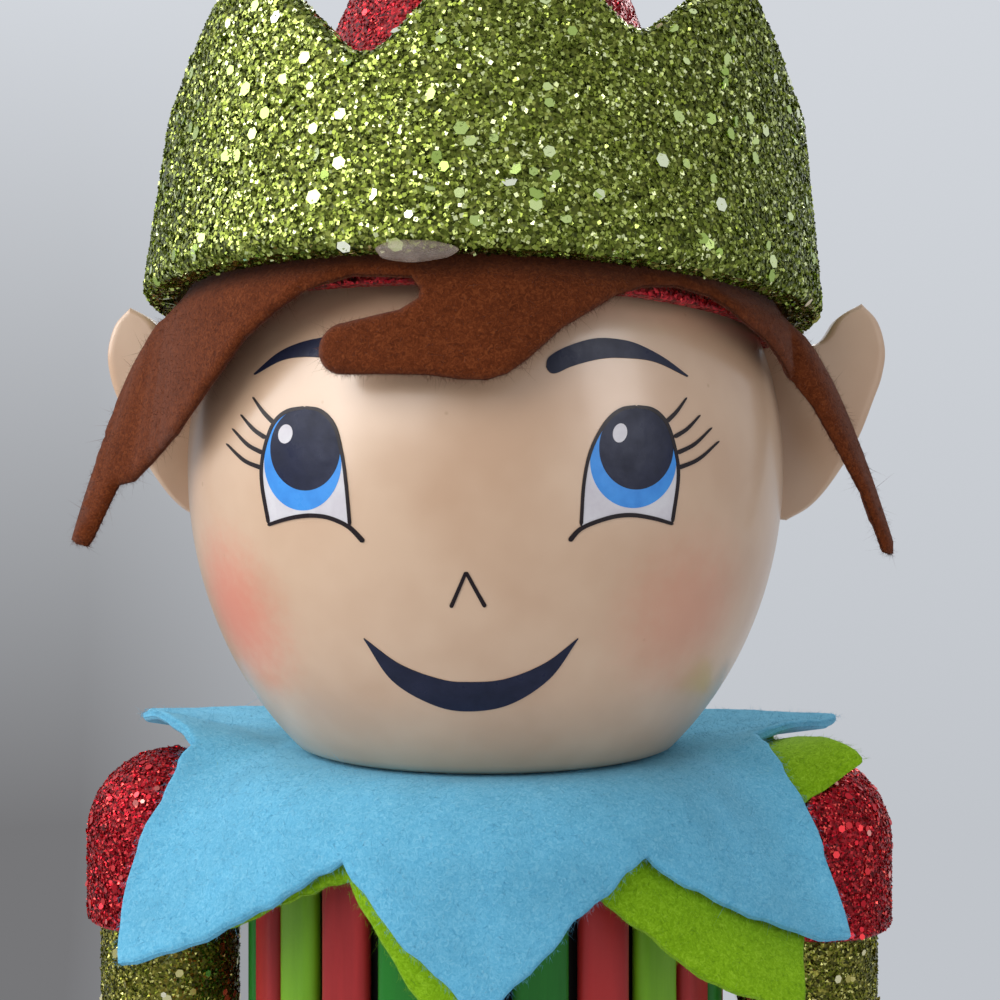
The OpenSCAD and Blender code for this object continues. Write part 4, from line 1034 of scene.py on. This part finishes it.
def bootToe(x, z, r, reach):
    # a round bar that ends in a ball, cut flat where it stands; its back end is inside the shaft
    count = bootForm["toeCount"]
    ball = np.linspace(0, np.pi / 2, 14)[1:-1]
    y = np.concatenate([np.linspace(bootForm["toeBack"], r - reach, 12), r - reach - r * np.sin(ball)])
    size = np.sqrt(r * r - np.where(y > 0, y, np.minimum(y + reach - r, 0)) ** 2)[:, None]
    a = np.linspace(0, 2 * np.pi, count, endpoint=False)
    middle = bootForm["middle"] * r
    ring = np.stack([x + size * np.cos(a), np.repeat(y[:, None], count, 1),
                     z + np.maximum(0.0, middle + size * np.sin(a))], -1)
    points = np.concatenate([ring.reshape(-1, 3), [[x, y[0], z + middle], [x, -reach, z + middle]]])
    n = len(points) - 2
    ends = np.concatenate([fan(np.arange(count), n), fan(n - count + np.arange(count), n + 1, True)])
    return points, gridFaces(len(y), count, True), ends


for side, way in bothSides:
    name = f"{side}_boot"
    bootX, brimR, z0, z1 = spanOf(name)
    shaftR, brimZ = brimR - bootForm["brim"], z1 - bootForm["brimH"]
    shaftLine = roundedLine([(0, z0), (shaftR, z0), (shaftR, brimZ), (brimR, brimZ + bootForm["slope"]),
                             (brimR, z1), (0, z1)], bootForm["soft"])
    shaft, shaftFaces = revolve(shaftLine, bootForm["count"], bootX)
    toe = bootToe(bootX, z0, shaftR * bootForm["toeShare"], -boxOf(name)[0, 1])
    addGlitter(name, name, joinMeshes([(shaft, *shaftFaces), toe]), bootForm["flakes"], 41 + way, "green",
               lambda spots, normals: (spots[:, 2] > z0 + bootForm["flakesFrom"]) & (normals[:, 2] > -0.5))

# Arms: a glitter cap, sleeve and wrist cuff in a stack, and a turned hand
armForm = dict(count=80, capRound=0.8, capFlakes=12000, domeRows=28, skirtUp=0.5, sleeveRound=0.5,
               sleeveFlakes=20000, wristRound=1.0, wristFlakes=4000, wristEdge=1.2, palm=0.55, handRows=30,
               handCount=64, handTop=[(0.7, 0.3), (0.66, 0)])
for side, way in bothSides:
    body, count = f"{side}_arm", armForm["count"]
    armX, capR, low, high = spanOf(f"{side}_shoulder_cap")
    capZ = high - capR
    skirt = roundedLine([(0, low), (capR, low), (capR, capZ - armForm["skirtUp"])], armForm["capRound"])
    dome = arc(capR, capZ, 0, np.pi / 2, armForm["domeRows"])[:-1]
    capMesh = revolve(np.concatenate([skirt, dome, [[0, high]]]), count, armX)
    addGlitter(f"{side}_shoulder_cap", f"{side}_cap", capMesh, armForm["capFlakes"], 51 + way, "red",
               lambda spots, normals: normals[:, 2] > -0.5, body)
    _, *sleeve = spanOf(f"{side}_sleeve")
    sleeveMesh = revolve(post(*sleeve, armForm["sleeveRound"]), count, armX)
    addGlitter(f"{side}_sleeve", f"{side}_sleeve", sleeveMesh, armForm["sleeveFlakes"], 61 + way, "gold",
               lambda spots, normals: np.abs(normals[:, 2]) < 0.6, body)
    _, *wrist = spanOf(f"{side}_wrist_cuff")
    wristMesh = revolve(post(*wrist, armForm["wristRound"]), count, armX)
    wristIn = wrist[0] - armForm["wristEdge"]
    addGlitter(f"{side}_wrist_cuff", f"{side}_wrist", wristMesh, armForm["wristFlakes"], 71 + way, "red",
               lambda spots, normals: np.hypot(spots[:, 0] - armX, spots[:, 1]) > wristIn, body)
    _, handR, low, high = spanOf(f"{side}_hand")
    palm = (high - low - handR) * armForm["palm"]
    hand = arc(handR, low + palm, -np.pi / 2, np.pi / 4, armForm["handRows"], palm)[1:]
    top = [(handR * share, high - drop) for share, drop in armForm["handTop"]]
    handMesh = revolve(np.concatenate([[[0, low]], hand, top, [[0, high]]]), armForm["handCount"], armX)
    makePiece(f"{side}_hand", *handMesh, plainSkin, body, "skin_paint", [f"{side}_hand"])
print("arms made")

# Hidden dowels and the core keep their CAD shapes; the core's near-black paint is partly its own colour and
# partly painted shade for the gaps between the slats
for name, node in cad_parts.items():
    if "dowel" in name or "peg" in name or name == "torso_core":
        for slot in node.material_slots:
            slot.material = coreGapShadePaint if name == "torso_core" else bareWood

# Stage: a pale floor under the figure, a pale world whose backdrop carries painted shade, darker low down and
# darkest low at the left behind the figure, and soft lamps
stageForm = dict(floorR=520.0, floorTop=-0.05, floorLow=-4.0, floorCount=128, floor=("#dadce1", "#dfe1e5"),
                 sky=0.46, light="#f2f4f8", high="#d2d6dc", low="#c0c4ca", corner="#767678")
floorMaterial, add, coords = startMaterial("matt paper floor")
paper = add("TexNoise", {"Vector": coords, "Scale": perSize(40), "Detail": 3})
tone = add("ValToRGB", {0: paper}, list(zip((0.3, 0.7), stageForm["floor"])))
endMaterial(floorMaterial, add, {"Base Color": tone, "Roughness": 0.9})
floorLine = [(r, stageForm[z]) for z, way in (("floorLow", 1), ("floorTop", -1))
             for r in (0, stageForm["floorR"])[::way]]
makePiece("floor", *revolve(floorLine, stageForm["floorCount"]), floorMaterial, None)
world = bpy.data.worlds.new("studio")
bpy.context.scene.world = world
world.use_nodes = True
world.node_tree.nodes.clear()
add = partial(addNode, world.node_tree)
seen = add("LightPath", pick="Is Camera Ray")
for ray in ("Is Glossy Ray", "Is Transmission Ray"):
    seen = add("Math", {0: seen, 1: add("LightPath", pick=ray)}, operation="MAXIMUM")
# painted shade on the backdrop: it darkens downward, and darkest towards the left behind the figure
toward = add("TexCoord", pick="Generated")
wayX, wayY, wayZ = (add("SeparateXYZ", {0: toward}, pick=k) for k in range(3))
leftward = add("MapRange", {0: wayX, 1: -0.05, 2: -0.3, 3: 0.0, 4: 1.0})
behind = add("MapRange", {0: wayY, 1: 0.5, 2: 0.85, 3: 0.0, 4: 1.0})
downward = add("MapRange", {0: wayZ, 1: 0.3, 2: -0.2, 3: 0.0, 4: 1.0})
shadow = add("Math", {0: leftward, 1: behind}, operation="MULTIPLY")
low = add("MixRGB", {0: shadow, 1: linear(stageForm["low"]), 2: linear(stageForm["corner"])})
wall = add("MixRGB", {0: downward, 1: linear(stageForm["high"]), 2: low})
lit = add("Background", {"Color": linear(stageForm["light"]), "Strength": stageForm["sky"]})
back = add("Background", {"Color": wall, "Strength": 1.0})
add("OutputWorld", {"Surface": add("MixShader", {0: seen, 1: lit, 2: back})}, pick=None)


def addLamp(name, at, target, size, power):  # a square soft lamp that faces its target
    lamp = bpy.data.objects.new(name, bpy.data.lights.new(name, "AREA"))
    lamp.data.size = size * mm
    lamp.data.energy = power
    lamp.location = np.array(at) * mm
    lamp.rotation_euler = (Vector(target) - Vector(at)).to_track_quat("-Z", "Y").to_euler()
    bpy.context.scene.collection.objects.link(lamp)
    return lamp


addLamp("key", (-320, -430, 540), (0, 0, 250), 440, 1.75)
addLamp("window", (-540, -60, 520), (0, 0, 240), 380, 1.85)
addLamp("fill", (420, -380, 330), (0, 0, 240), 400, 0.3)
addLamp("back", (120, 380, 620), (0, 0, 260), 300, 1.2)

# Gloss: two tall windows that only the head's enamel mirrors, each set where the camera sees it at a pixel
glossForm = dict(pixels=((340, 375), (612, 375)), away=500.0, wide=200.0, tall=520.0, power=1.5)
for pixel in glossForm["pixels"]:
    spot = onHead(np.array(pixel, float))
    normal, sight = headNormal(spot), unit(eye - spot)
    mirrored = 2 * (normal @ sight) * normal - sight
    lamp = addLamp("gloss", spot + mirrored * glossForm["away"], spot, glossForm["wide"], glossForm["power"])
    lamp.data.shape = "RECTANGLE"
    lamp.data.size_y = glossForm["tall"] * mm
    lamp.visible_diffuse = False
    lamp.light_linking.receiver_collection = enamel
print("stage set")
